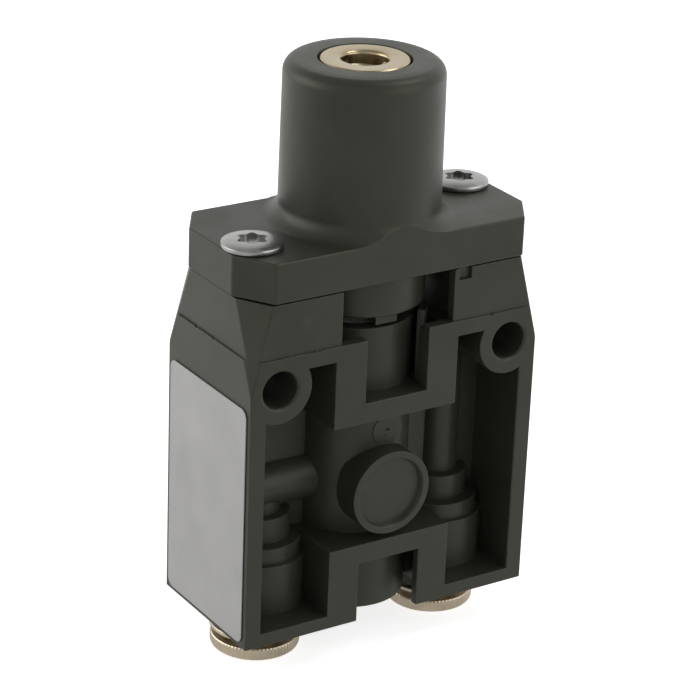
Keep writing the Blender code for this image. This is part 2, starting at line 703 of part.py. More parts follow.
# Bushes, seals and cages lie on one another in the tube's bore, round the spool.
def make_stack(plastic, rubber):
    half = SEAL_HEIGHT / 2 + SEAL_GAP
    make_bush("bush_lower", LOWER_SEAL_Z - half - BUSH_HEIGHT, LOWER_SEAL_Z - half, SEAL_HOLE, plastic)
    make_spool_seal("spool_seal_lower", LOWER_SEAL_Z, rubber)
    make_cage("cage_supply", LOWER_SEAL_Z + half, MIDDLE_SEAL_Z - half, plastic)
    make_spool_seal("spool_seal_middle", MIDDLE_SEAL_Z, rubber)
    make_cage("cage_outlet", MIDDLE_SEAL_Z + half, UPPER_SEAL_Z - half, plastic)
    make_spool_seal("spool_seal_upper", UPPER_SEAL_Z, rubber)
    make_bush("bush_upper", UPPER_SEAL_Z + half, LEDGE_HEIGHT - 0.1, SPOOL_RADIUS + 0.7, plastic)


# Helical spring with the wire's ends closed.
def make_spring(material):
    bottom = TUBE_FLOOR + SEAT_GAP + SPRING_WIRE
    top = SPOOL_BOTTOM - SEAT_GAP - SPRING_WIRE
    count = int(SPRING_TURNS * SPRING_STEPS_PER_TURN)
    builder = bmesh.new()
    rings = []
    for step in range(count + 1):
        share = step / count
        angle = 2 * math.pi * SPRING_TURNS * share
        outward = Vector((math.cos(angle), math.sin(angle), 0))
        centre = outward * SPRING_RADIUS
        centre.z = (top - bottom) * share + SPRING_WIRE
        ring = []
        for corner in range(SPRING_SECTION_STEPS):
            turn = 2 * math.pi * corner / SPRING_SECTION_STEPS
            offset = outward * math.cos(turn) + Vector((0, 0, 1)) * math.sin(turn)
            ring.append(builder.verts.new(centre + offset * SPRING_WIRE))
        rings.append(ring)
    for lower, upper in zip(rings, rings[1:]):
        for corner in range(SPRING_SECTION_STEPS):
            after = (corner + 1) % SPRING_SECTION_STEPS
            builder.faces.new((lower[corner], lower[after], upper[after], upper[corner]))
    builder.faces.new(rings[0])
    builder.faces.new(rings[-1])
    return add_object("return_spring", builder, material, at=(0, 0, TUBE_FLOOR + SEAT_GAP))


# Push-in cartridges

def make_sleeve(name, x, material):
    chamfer = 0.15
    groove = SLEEVE_RADIUS - 2 * OUTER_SEAL_SECTION
    low = OUTER_SEAL_Z - GROOVE_HALF
    high = OUTER_SEAL_Z + GROOVE_HALF
    tube_stop = TUBE_HOLE + SLEEVE_TUBE_GAP
    profile = [(SLEEVE_INNER, FLANGE_BOTTOM), (FLANGE_RADIUS - chamfer, FLANGE_BOTTOM)]
    profile += [(FLANGE_RADIUS, FLANGE_BOTTOM + chamfer), (FLANGE_RADIUS, FLANGE_TOP)]
    profile += [(SLEEVE_RADIUS, FLANGE_TOP), (SLEEVE_RADIUS, low), (groove, low), (groove, high)]
    under_roof = SLEEVE_TOP - SLEEVE_ROOF
    profile += [(SLEEVE_RADIUS, high), (SLEEVE_RADIUS, SLEEVE_TOP - chamfer)]
    profile += [(SLEEVE_RADIUS - chamfer, SLEEVE_TOP), (SLEEVE_MOUTH, SLEEVE_TOP)]
    profile += [(SLEEVE_MOUTH, under_roof), (tube_stop, under_roof)]
    profile += [(tube_stop, SEAL_ROOM_TOP), (SLEEVE_INNER, SEAL_ROOM_TOP)]
    return add_object(name, turned(profile), material, at=(x, 0, 0))


def make_release_ring(name, x, material):
    bend = 0.45
    lower = arc((RING_RADIUS - bend, RING_BOTTOM + bend), bend, -90, 0, 3)
    profile = [(TUBE_HOLE, RING_BOTTOM + 0.35), (TUBE_HOLE + 0.35, RING_BOTTOM)] + lower
    profile += [(RING_RADIUS, RING_TOP - 0.1), (RING_RADIUS - 0.1, RING_TOP), (COLLET_RADIUS, RING_TOP)]
    profile += [(COLLET_RADIUS, COLLET_TOP - bend), (COLLET_RADIUS - bend, COLLET_TOP)]
    profile += [(TUBE_HOLE, COLLET_TOP)]
    raised = [(radius, height - RING_BOTTOM) for radius, height in profile]
    return add_object(name, turned(raised), material, at=(x, 0, RING_BOTTOM))


# Spring steel washer whose eight teeth lean inwards and hold the tube.
def make_claw(name, x, material):
    tip = TUBE_HOLE + 0.05
    root = tip + 0.65
    rim = SLEEVE_INNER - 0.12
    rise = 0.35
    profile = [(tip, rise), (root, 0), (rim, 0), (rim, CLAW_THICKNESS)]
    profile += [(root, CLAW_THICKNESS), (tip, rise + CLAW_THICKNESS)]
    claw = add_object(name, turned(profile, INNER_STEPS), material, at=(x, 0, CLAW_BOTTOM))
    slots = []
    for slot in range(4):
        builder = pushed(rectangle(-root, root, -0.14, 0.14), -0.5, 1.2, "Z")
        turn = Matrix.Rotation(math.radians(45 * slot), 3, "Z")
        bmesh.ops.rotate(builder, verts=builder.verts, matrix=turn)
        slots.append(add_object(name + "_slot", builder, at=(x, 0, CLAW_BOTTOM), smooth=False))
    cut(claw, "Slots_" + name, *slots)
    return claw


def make_cartridge(side_name, x, materials):
    make_sleeve("cartridge_sleeve_" + side_name, x, materials["nickel"])
    make_release_ring("release_ring_" + side_name, x, materials["nickel"])
    make_claw("grip_claw_" + side_name, x, materials["steel"])
    rubber = materials["rubber"]
    inner_ring = TUBE_HOLE + TUBE_SEAL_SECTION + 0.07
    outer_ring = PORT_BORE - OUTER_SEAL_SECTION - 0.06
    o_ring("tube_seal_" + side_name, inner_ring, TUBE_SEAL_SECTION, rubber, (x, 0, TUBE_SEAL_Z))
    o_ring("cartridge_oring_" + side_name, outer_ring, OUTER_SEAL_SECTION, rubber, (x, 0, OUTER_SEAL_Z))


def make_label(material):
    half = LABEL_DEPTH / 2 - LABEL_CORNER
    low = LABEL_BOTTOM + LABEL_CORNER
    high = LABEL_TOP - LABEL_CORNER
    outline = []
    for y, z, start in ((half, low, -90), (half, high, 0), (-half, high, 90), (-half, low, 180)):
        outline += arc((y, z), LABEL_CORNER, start, start + 90, 4)
    side = -BODY_WIDTH / 2 - LABEL_GAP
    return add_object("label", pushed(outline, side, side - LABEL_THICKNESS, "X"), material, smooth=False)


def build_valve():
    clear_scene()
    materials = {
        "polymer": make_material("black_polymer", (0.030, 0.031, 0.027), 0.48),
        "brass": make_material("pale_brass", (0.80, 0.68, 0.42), 0.25, 1.0),
        "nickel": make_material("satin_nickel", (0.66, 0.60, 0.52), 0.32, 1.0),
        "zinc": make_material("zinc_plating", (0.72, 0.72, 0.72), 0.35, 1.0),
        "steel": make_material("spring_steel", (0.55, 0.55, 0.56), 0.3, 1.0),
        "aluminium": make_material("aluminium", (0.78, 0.78, 0.79), 0.3, 1.0),
        "acetal": make_material("white_acetal", (0.78, 0.77, 0.72), 0.45),
        "rubber": make_material("nitrile_rubber", (0.02, 0.02, 0.02), 0.6),
        "label": make_material("label_film", (0.62, 0.62, 0.60), 0.4),
    }
    make_body(materials["polymer"])
    make_cap(materials["polymer"])
    make_insert(materials["brass"])
    make_screw("cap_screw_left", -1, materials["zinc"])
    make_screw("cap_screw_right", 1, materials["zinc"])
    make_spacer(materials["polymer"])
    spigot_ring = PILOT_BORE - SLIDE_GAP - 0.42
    o_ring("spacer_oring", spigot_ring, 0.45, materials["rubber"], (0, 0, SPACER_RING_Z))
    make_piston(materials["acetal"])
    make_piston_seal(materials["rubber"])
    make_spool(materials["aluminium"])
    make_spring(materials["steel"])
    make_stack(materials["acetal"], materials["rubber"])
    make_cartridge("left", -PORT_X, materials)
    make_cartridge("right", PORT_X, materials)
    make_label(materials["label"])


build_valve()
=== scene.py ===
# Looks of a miniature pilot operated spool valve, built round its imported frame.
# Lengths are written in millimetres and turned to metres by MM.

import json
import math

import bpy
from mathutils import Matrix, Vector

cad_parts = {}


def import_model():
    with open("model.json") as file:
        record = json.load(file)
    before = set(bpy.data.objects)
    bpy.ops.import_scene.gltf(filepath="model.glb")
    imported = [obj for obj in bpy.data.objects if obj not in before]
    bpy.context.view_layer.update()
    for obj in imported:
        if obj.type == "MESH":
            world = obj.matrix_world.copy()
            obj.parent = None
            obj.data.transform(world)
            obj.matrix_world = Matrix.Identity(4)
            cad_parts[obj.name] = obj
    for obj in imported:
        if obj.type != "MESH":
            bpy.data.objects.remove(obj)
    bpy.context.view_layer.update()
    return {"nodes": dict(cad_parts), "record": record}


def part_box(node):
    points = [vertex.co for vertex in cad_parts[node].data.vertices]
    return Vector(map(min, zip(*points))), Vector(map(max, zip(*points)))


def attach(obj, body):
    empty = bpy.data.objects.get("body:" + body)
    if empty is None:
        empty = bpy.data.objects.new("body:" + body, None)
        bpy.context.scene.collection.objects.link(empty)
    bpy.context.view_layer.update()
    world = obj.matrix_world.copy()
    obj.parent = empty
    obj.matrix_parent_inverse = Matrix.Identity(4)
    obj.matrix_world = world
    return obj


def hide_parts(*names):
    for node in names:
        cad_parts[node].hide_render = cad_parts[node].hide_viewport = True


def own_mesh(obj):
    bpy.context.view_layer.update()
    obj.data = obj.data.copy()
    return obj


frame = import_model()

MM = 0.001

# The release rings stand this far below the body's underside.
STAND = 4.6

# A tool that opens a face runs this far past it. One that goes right through has this half length.
PAST = 1.0
THROUGH = 12.0

# Points closer than this are one point.
SAME_POINT = 0.002

# Body
BODY_WIDTH = 37.0
BODY_DEPTH = 17.8
LEDGE_HEIGHT = 34.2
LEDGE_STEP = 0.2
BODY_TOP = 40.3
CORNER_START = 30.15
SIDE_WALL = 2.0
BOTTOM_WALL = 1.6
TOP_WALL = 1.85
MID_WEB = 1.6
WINDOW_HALF = 3.95
WINDOW_BLOCK_HALF = 7.93
UPPER_FLOOR = 26.75
UPPER_BLOCK_BOTTOM = 24.35
LOWER_ROOF = 7.15
LOWER_BLOCK_TOP = 9.55
UPPER_WINDOW_WALL = 2.0
LOWER_WINDOW_WALL = 1.0
LOWER_WINDOW_CUT = 2.0
UPPER_WELL_HALF = 6.95
LOWER_WELL_HALF = 7.1
OPENING_HALF = 7.15
CHAMBER_HALF = 8.8
CHAMBER_WALL = 1.2
CHAMBER_FLOOR = 33.6
MOUNT_X = 14.8
MOUNT_Z = 30.5
MOUNT_RADIUS = 2.1
MOUNT_BOSS_RADIUS = 3.9
RIM_WIDTH = 0.25
RIM_OVERLAP = 0.05
TUBE_TOP_RADIUS = 6.45
TUBE_FOOT_RADIUS = 6.75
TUBE_FOOT = 0.1
TUBE_INSIDE = 5.2
TUBE_BORE = 4.7
TUBE_FLOOR = 3.0
HORN_INNER = 7.2
HORN_OUTER = 8.1
HORN_START = -52
HORN_END = -34
HORN_SUNK = 0.9
FRONT_BOSS_Z = 15.1
FRONT_BOSS_RADIUS = 4.97
FRONT_BOSS_RIM = 4.2
FRONT_BOSS_DISH = 0.7
EJECTOR_X = 0.6
EJECTOR_Z = 21.7
EJECTOR_RADIUS = 1.9
EJECTOR_REACH = 6.62
PORT_X = 11.9
PORT_BORE = 4.45
PORT_BORE_FOOT = -3.0
PORT_BORE_TOP = 7.0
TOWER_OUTLINE = [(5.0, -1.4), (5.0, 0.3), (5.55, 0.3), (5.55, 7.45), (4.95, 7.5), (4.95, 9.35)]
TOWER_OUTLINE += [(3.6, 9.45), (3.6, 12.3), (2.45, 12.4)]
STACK_RADIUS = 2.4
STACK_PAST_DUCT = 1.7
DUCT_RADIUS = 1.2
CROSS_BORE = 1.17
LEFT_DUCT_Z = 15.1
LEFT_DUCT_LIFT = 0.15
LEFT_DUCT_OUTSIDE = 2.85
LEFT_DUCT_END = 13.9
RIGHT_DUCT_Z = 28.5
RIGHT_DUCT_OUTSIDE = 2.4
EDGE_ROUND = 0.14

# Marks on the body
NOTCH_X = (7.75, 9.35)
NOTCH_DEPTH = 0.75
NOTCH_Z = 38.95
NICK_FLATNESS = 0.55
SPARED_REACH = 1.15

# Cap
PLATE_WIDTH = 37.3
PLATE_DEPTH = 18.0
PLATE_BOTTOM = 40.5
PLATE_TOP = 45.1
CORNER_X = 2.8
CORNER_Y = 4.4
PLATE_ROUND = 0.22
CAP_RADIUS = 8.95
CAP_DRAFT = 0.14
CAP_TOWER_FOOT = 1.0
CAP_FOOT_ROUND = 1.9
CAP_RIM_ROUND = 1.5
CAP_TOP = 62.849
PILOT_BORE = 6.2
PILOT_ROOF = 55.2
PILOT_THROAT = 3.4
INSERT_RADIUS = 4.85
INSERT_BOTTOM = 56.6
INSERT_GAP = 0.14
INSERT_MOUTH_GAP = 0.34
SCREW_X = 15.4
SCREW_Y = 3.2
SCREW_HOLE_IN_BODY = 1.45
SCREW_HOLE_IN_PLATE = 1.6
SCREW_HOLE_FOOT = 35.7
SCREW_SHANK = 1.3
SCREW_HEAD_HEIGHT = 0.9
SCREW_SEAT = 0.02
SCREW_HEAD_RADIUS = 3.35
RECESS_RADIUS = 1.8
RECESS_FLOOR = 0.3

# Cartridges
FLANGE_RADIUS = 5.2
RING_RADIUS = 5.1
RING_TOP = -3.1
RING_SIDES = 144
KNURL_DEPTH = 0.09
TUBE_HOLE = 2.05
SLEEVE_INNER = 3.4
SLEEVE_OUTER = 4.3


def world(x, y, z):
    return Vector((x * MM, y * MM, (z + STAND) * MM))


# Handling of pieces and of what is selected on them

def pick_only(piece):
    bpy.ops.object.select_all(action="DESELECT")
    piece.select_set(True)
    bpy.context.view_layer.objects.active = piece


def open_for_editing(piece, mode="FACE"):
    pick_only(piece)
    bpy.ops.object.mode_set(mode="EDIT")
    bpy.ops.mesh.select_mode(type=mode)


def close_editing():
    bpy.ops.object.mode_set(mode="OBJECT")


def set_down(piece):
    pick_only(piece)
    bpy.ops.object.transform_apply(location=True, rotation=True, scale=True)


# Opens a piece with only the parts of one kind selected that pass a test.
# The kind is set first, or else Blender also picks edges between two chosen corners.
def select_where(piece, kind, test):
    open_for_editing(piece, kind)
    close_editing()
    mesh = piece.data
    for face in mesh.polygons:
        face.select = False
    for edge in mesh.edges:
        edge.select = False
    for vertex in mesh.vertices:
        vertex.select = False
    for item in mesh.edges if kind == "EDGE" else mesh.vertices:
        item.select = test(item)
    bpy.ops.object.mode_set(mode="EDIT")


def block(name, x, y, z):
    low = world(x[0], y[0], z[0])
    high = world(x[1], y[1], z[1])
    bpy.ops.object.select_all(action="DESELECT")
    bpy.ops.mesh.primitive_cube_add(size=1, location=(low + high) / 2, scale=high - low)
    piece = bpy.context.object
    piece.name = name
    set_down(piece)
    return piece


# A drum that lies along X, Y or Z between two places on that axis.
def drum(name, radius, start, end, axis="Z", at=(0, 0, 0), sides=64, end_radius=None):
    turn = {"X": (0, math.radians(90), 0), "Y": (math.radians(90), 0, 0), "Z": (0, 0, 0)}[axis]
    along = {"X": Vector((1, 0, 0)), "Y": Vector((0, 1, 0)), "Z": Vector((0, 0, 1))}[axis]
    middle = world(*at) + along * (start + end) / 2 * MM
    bpy.ops.object.select_all(action="DESELECT")
    bpy.ops.mesh.primitive_cone_add(
        vertices=sides,
        radius1=radius * MM,
        radius2=(radius if end_radius is None else end_radius) * MM,
        depth=(end - start) * MM,
        location=middle,
        rotation=turn,
    )
    piece = bpy.context.object
    piece.name = name
    set_down(piece)
    return piece


# A circle is pulled along a profile of (radius, height) points.
# An open profile makes a plug; a closed one ends where it starts and makes a ring.
def turned(name, profile, at=(0, 0, 0), sides=96, closed=True):
    radius, height = profile[0]
    fill = "NOTHING" if closed else "NGON"
    bpy.ops.object.select_all(action="DESELECT")
    place = world(at[0], at[1], at[2] + height)
    bpy.ops.mesh.primitive_circle_add(vertices=sides, radius=radius * MM, fill_type=fill, location=place)
    piece = bpy.context.object
    piece.name = name
    set_down(piece)
    open_for_editing(piece, "EDGE" if closed else "FACE")
    bpy.ops.mesh.select_all(action="SELECT")
    steps = profile[1:] + profile[:1] if closed else profile[1:]
    for next_radius, next_height in steps:
        rise = (next_height - height) * MM
        bpy.ops.mesh.extrude_region_move(TRANSFORM_OT_translate={"value": (0, 0, rise)})
        scale = next_radius / radius
        centre = world(at[0], at[1], at[2] + next_height)
        bpy.ops.transform.resize(value=(scale, scale, 1), center_override=centre)
        radius, height = next_radius, next_height
    bpy.ops.mesh.select_all(action="SELECT")
    bpy.ops.mesh.remove_doubles(threshold=SAME_POINT * MM)
    bpy.ops.mesh.normals_make_consistent(inside=False)
    close_editing()
    return piece


def quarter(centre, radius, start, end, steps=6):
    points = []
    for step in range(steps + 1):
        angle = math.radians(start + (end - start) * step / steps)
        points.append((centre[0] + radius * math.cos(angle), centre[1] + radius * math.sin(angle)))
    return points


def apply_boolean(piece, tools, operation):
    for tool in tools:
        modifier = piece.modifiers.new("Boolean", "BOOLEAN")
        modifier.operation = operation
        modifier.solver = "EXACT"
        modifier.object = tool
        pick_only(piece)
        bpy.ops.object.modifier_apply(modifier=modifier.name)
        bpy.data.objects.remove(tool, do_unlink=True)


def carve(piece, *tools):
    apply_boolean(piece, tools, "DIFFERENCE")


def weld(piece, *tools):
    apply_boolean(piece, tools, "UNION")


# Joins what lies in one plane and drops points that lie on one another.
def clean_up(piece):
    open_for_editing(piece, "VERT")
    bpy.ops.mesh.select_all(action="SELECT")
    bpy.ops.mesh.remove_doubles(threshold=2 * SAME_POINT * MM)
    bpy.ops.mesh.dissolve_limited(angle_limit=math.radians(0.5))
    bpy.ops.mesh.select_all(action="SELECT")
    bpy.ops.mesh.normals_make_consistent(inside=False)
    close_editing()


# Rounds the outer corners that are sharper than an angle; inner corners stay as they are,
# and so does what lies within reach of a spared place.
def round_edges(piece, width, segments=2, angle=32, spare=()):
    mesh = piece.data
    sides = {}
    for face in mesh.polygons:
        for key in face.edge_keys:
            sides.setdefault(key, []).append(face)
    least = math.cos(math.radians(angle))

    def inward(face, edge):
        along = mesh.vertices[edge.vertices[1]].co - mesh.vertices[edge.vertices[0]].co
        corners = list(face.vertices)
        place = corners.index(edge.vertices[0])
        forward = corners[(place + 1) % len(corners)] == edge.vertices[1]
        return face.normal.cross(along if forward else -along)

    def outer(edge):
        faces = sides.get(tuple(sorted(edge.vertices)), [])
        if len(faces) != 2 or faces[0].normal.dot(faces[1].normal) > least:
            return False
        ends = [mesh.vertices[index].co for index in edge.vertices]
        if any(((ends[0] + ends[1]) / 2 - place).length < reach for place, reach in spare):
            return False
        return inward(faces[1], edge).dot(faces[0].normal) < 0

    chosen = {edge.key for edge in mesh.edges if outer(edge)}
    select_where(piece, "EDGE", lambda edge: edge.key in chosen)
    bpy.ops.mesh.bevel(offset=width * MM, segments=segments, affect="EDGES", clamp_overlap=False)
    bpy.ops.mesh.select_all(action="SELECT")
    bpy.ops.mesh.remove_doubles(threshold=SAME_POINT * MM)
    close_editing()


# Shades round faces smooth and keeps flat ones flat beside their rounded edges.
def smooth(piece, angle=32):
    pick_only(piece)
    bpy.ops.object.shade_smooth_by_angle(angle=math.radians(angle))
    modifier = piece.modifiers.new("Even normals", "WEIGHTED_NORMAL")
    modifier.weight = 100
    modifier.keep_sharp = True
    bpy.ops.object.modifier_apply(modifier=modifier.name)


# Body

# Cuts the four upper corners, which run out to nothing below.
def cut_corners(piece):
    open_for_editing(piece)
    for side in (-1, 1):
        for face in (-1, 1):
            foot = world(side * BODY_WIDTH / 2, face * BODY_DEPTH / 2, CORNER_START)
            on_side = world(side * BODY_WIDTH / 2, face * (BODY_DEPTH / 2 - CORNER_Y), PLATE_BOTTOM)
            on_face = world(side * (BODY_WIDTH / 2 - CORNER_X), face * BODY_DEPTH / 2, PLATE_BOTTOM)
            normal = (on_side - foot).cross(on_face - foot).normalized() * side * face
            if normal.x * side < 0:
                normal = -normal
            bpy.ops.mesh.select_all(action="SELECT")
            bpy.ops.mesh.bisect(plane_co=foot, plane_no=normal, use_fill=True, clear_outer=True)
    close_editing()


def pocket_tool(side):
    near = side * (BODY_DEPTH / 2 + PAST)
    far = side * MID_WEB / 2
    depth = sorted((near, far))
    wide = BODY_WIDTH / 2 - SIDE_WALL
    tool = block("pocket", (-wide, wide), depth, (BOTTOM_WALL, LEDGE_HEIGHT - TOP_WALL))
    reach = (-WINDOW_BLOCK_HALF, WINDOW_BLOCK_HALF)
    past = (depth[0] - PAST, depth[1] + PAST)
    carve(
        tool,
        block("lower_frame", reach, past, (0, LOWER_BLOCK_TOP)),
        block("upper_frame", reach, past, (UPPER_BLOCK_BOTTOM, LEDGE_HEIGHT)),
        drum("left_boss", MOUNT_BOSS_RADIUS, past[0], past[1], "Y", (-MOUNT_X, 0, MOUNT_Z)),
        drum("right_boss", MOUNT_BOSS_RADIUS, past[0], past[1], "Y", (MOUNT_X, 0, MOUNT_Z)),
    )
    return tool


def tower(name, side, duct_z):
    profile = TOWER_OUTLINE + [(STACK_RADIUS, duct_z + STACK_PAST_DUCT)]
    return turned(name, profile, (side * PORT_X, 0, 0), 64, closed=False)


# Cuts the pocket, the two windows and the lower well of the front or the back.
def open_side(body, side):
    half_depth = BODY_DEPTH / 2
    outside = side * (half_depth + PAST)
    window = (-WINDOW_HALF, WINDOW_HALF)
    upper_depth = sorted((outside, side * (half_depth - UPPER_WINDOW_WALL - PAST)))
    lower_depth = sorted((outside, side * (half_depth - LOWER_WINDOW_CUT)))
    well_depth = sorted((side * (half_depth - LOWER_WINDOW_WALL), side * MID_WEB / 2))
    carve(
        body,
        pocket_tool(side),
        block("upper_window", window, upper_depth, (UPPER_FLOOR, BODY_TOP)),
        block("lower_window", window, lower_depth, (-PAST, LOWER_ROOF)),
        block("lower_well", (-LOWER_WELL_HALF, LOWER_WELL_HALF), well_depth, (-PAST, LOWER_ROOF)),
    )


# Cuts the well round the tube, the opening between the collar's blocks and the chamber under the cap.
def open_top(body):
    well = BODY_DEPTH / 2 - UPPER_WINDOW_WALL
    chamber = BODY_DEPTH / 2 - LEDGE_STEP - CHAMBER_WALL
    above = BODY_TOP + PAST
    carve(
        body,
        block("upper_well", (-UPPER_WELL_HALF, UPPER_WELL_HALF), (-well, well), (UPPER_FLOOR, above)),
        block("opening", (-OPENING_HALF, OPENING_HALF), (-THROUGH, THROUGH), (LEDGE_HEIGHT, above)),
        block("chamber", (-CHAMBER_HALF, CHAMBER_HALF), (-chamber, chamber), (CHAMBER_FLOOR, above)),
    )


# Drills the port with its duct, the mounting hole and the screw hole of the left or the right.
def drill(body, side, duct_z):
    bore = [(PORT_BORE, PORT_BORE_FOOT), (PORT_BORE, PORT_BORE_TOP), (DUCT_RADIUS, PORT_BORE_TOP)]
    bore += [(DUCT_RADIUS, duct_z + DUCT_RADIUS)]
    across = sorted((side * PORT_X, side * (TUBE_BORE - 0.5)))
    screw = (side * SCREW_X, side * SCREW_Y, 0)
    face = BODY_DEPTH / 2
    narrow = MOUNT_RADIUS - RIM_OVERLAP
    wide = MOUNT_RADIUS + RIM_WIDTH + RIM_OVERLAP
    carve(
        body,
        turned("port_bore", bore, (side * PORT_X, 0, 0), 64, closed=False),
        drum("cross_bore", CROSS_BORE, across[0], across[1], "X", (0, 0, duct_z), 24),
        drum("mount_hole", MOUNT_RADIUS, -THROUGH, THROUGH, "Y", (side * MOUNT_X, 0, MOUNT_Z), 64),
        drum("screw_hole", SCREW_HOLE_IN_BODY, SCREW_HOLE_FOOT, BODY_TOP + PAST, at=screw, sides=32),
        mount_rim(side, -face - RIM_OVERLAP, wide, narrow),
        mount_rim(side, face - RIM_WIDTH - RIM_OVERLAP, narrow, wide),
    )


def make_body():
    half_width = BODY_WIDTH / 2
    half_depth = BODY_DEPTH / 2
    body = block("housing_body", (-half_width, half_width), (-half_depth, half_depth), (0, LEDGE_HEIGHT))
    wide = half_width - LEDGE_STEP
    deep = half_depth - LEDGE_STEP
    weld(body, block("upper", (-wide, wide), (-deep, deep), (CORNER_START, BODY_TOP)))
    cut_corners(body)
    for side in (-1, 1):
        open_side(body, side)
    open_top(body)
    left_duct = (0, 0, LEFT_DUCT_Z + LEFT_DUCT_LIFT)
    weld(
        body,
        drum("tube", TUBE_FOOT_RADIUS, TUBE_FOOT, LEDGE_HEIGHT, sides=96, end_radius=TUBE_TOP_RADIUS),
        tower("left_tower", -1, LEFT_DUCT_Z),
        tower("right_tower", 1, RIGHT_DUCT_Z),
        drum("left_duct", LEFT_DUCT_OUTSIDE, -LEFT_DUCT_END, 0, "X", left_duct, 48),
        drum("right_duct", RIGHT_DUCT_OUTSIDE, 0, PORT_X, "X", (0, 0, RIGHT_DUCT_Z), 48),
        horn("left_horn", -1),
        horn("right_horn", 1),
        front_boss(),
        ejector_pad(),
    )
    carve(body, drum("bore", TUBE_BORE, TUBE_FLOOR, BODY_TOP, sides=64))
    drill(body, -1, LEFT_DUCT_Z)
    drill(body, 1, RIGHT_DUCT_Z)
    clean_up(body)
    marks = mark_body(body)
    round_edges(body, EDGE_ROUND, spare=marks)
    smooth(body)
    return body


# A short cone that breaks the edge of a mounting hole, from one radius to the other along Y.
def mount_rim(side, start, start_radius, end_radius):
    end = start + RIM_WIDTH + 2 * RIM_OVERLAP
    place = (side * MOUNT_X, 0, MOUNT_Z)
    return drum("mount_rim", end_radius, start, end, "Y", place, 64, end_radius=start_radius)


# A stretch of a thin ring beside the tube keeps the exhaust spacer central.
def horn(name, side):
    foot = UPPER_FLOOR - HORN_SUNK
    top = LEDGE_HEIGHT + HORN_SUNK
    piece = turned(name, [(HORN_INNER, foot), (HORN_OUTER, foot), (HORN_OUTER, top), (HORN_INNER, top)])
    open_for_editing(piece)
    for degrees, keep in ((HORN_START, 1), (HORN_END, -1)):
        angle = math.radians(degrees)
        normal = Vector((-math.sin(angle), math.cos(angle), 0)) * keep * side
        bpy.ops.mesh.select_all(action="SELECT")
        bpy.ops.mesh.bisect(plane_co=world(0, 0, foot), plane_no=normal, use_fill=True, clear_inner=True)
    close_editing()
    return piece


# A plug of (radius, reach) points that leaves the tube's front at a height.
def on_the_front(name, profile, x, z):
    piece = turned(name, profile, sides=96, closed=False)
    open_for_editing(piece)
    bpy.ops.mesh.select_all(action="SELECT")
    bpy.ops.transform.rotate(value=math.radians(-90), orient_axis="X", center_override=world(0, 0, 0))
    bpy.ops.transform.translate(value=(x * MM, 0, z * MM))
    close_editing()
    return piece


def front_boss():
    face = BODY_DEPTH / 2
    floor = face - FRONT_BOSS_DISH
    profile = [(FRONT_BOSS_RADIUS, TUBE_INSIDE), (FRONT_BOSS_RADIUS, face), (FRONT_BOSS_RIM, face)]
    profile += [(FRONT_BOSS_RIM - 0.25, floor), (2.3, floor), (2.1, floor - 0.06)]
    return on_the_front("front_boss", profile, 0, FRONT_BOSS_Z)


# Where an ejector pin pushed, the tube has a flat round pad.
def ejector_pad():
    profile = [(EJECTOR_RADIUS, TUBE_INSIDE), (EJECTOR_RADIUS, EJECTOR_REACH)]
    return on_the_front("ejector_pad", profile, EJECTOR_X, EJECTOR_Z)


# Small marks of moulding and handling: a notch in the right block, nicks along the ledge and
# dents in the ejector pad. The result says where the nicks and dents are and how far they reach.
def mark_body(body):
    front = BODY_DEPTH / 2
    carve(body, block("notch", NOTCH_X, (-front, -front + NOTCH_DEPTH), (NOTCH_Z, BODY_TOP + PAST)))
    side = BODY_WIDTH / 2
    nicks = [(-side, 3.1, 0.35), (-side, 2.2, 0.22), (-side, -0.8, 0.3), (-side, 6.5, 0.2)]
    nicks += [(-13.4, -front, 0.28), (-10.9, -front, 0.2), (-10.2, -front, 0.26), (-5.4, -front, 0.2)]
    nicks += [(10.5, -front, 0.22), (12.2, -front, 0.34), (15.7, -front, 0.2), (side, -2.0, 0.25)]
    dents = [(x, y, LEDGE_HEIGHT + 0.05, radius) for x, y, radius in nicks]
    dents += [(0.6, -6.68, 21.8, 0.3), (0.2, -6.7, 21.2, 0.18)]
    marks = []
    for x, y, z, radius in dents:
        bpy.ops.object.select_all(action="DESELECT")
        place = world(x, y, z)
        marks.append((place, radius * SPARED_REACH * MM))
        bpy.ops.mesh.primitive_ico_sphere_add(subdivisions=2, radius=radius * MM, location=place)
        nick = bpy.context.object
        nick.scale.z = NICK_FLATNESS
        set_down(nick)
        carve(body, nick)
    return marks


# Cap

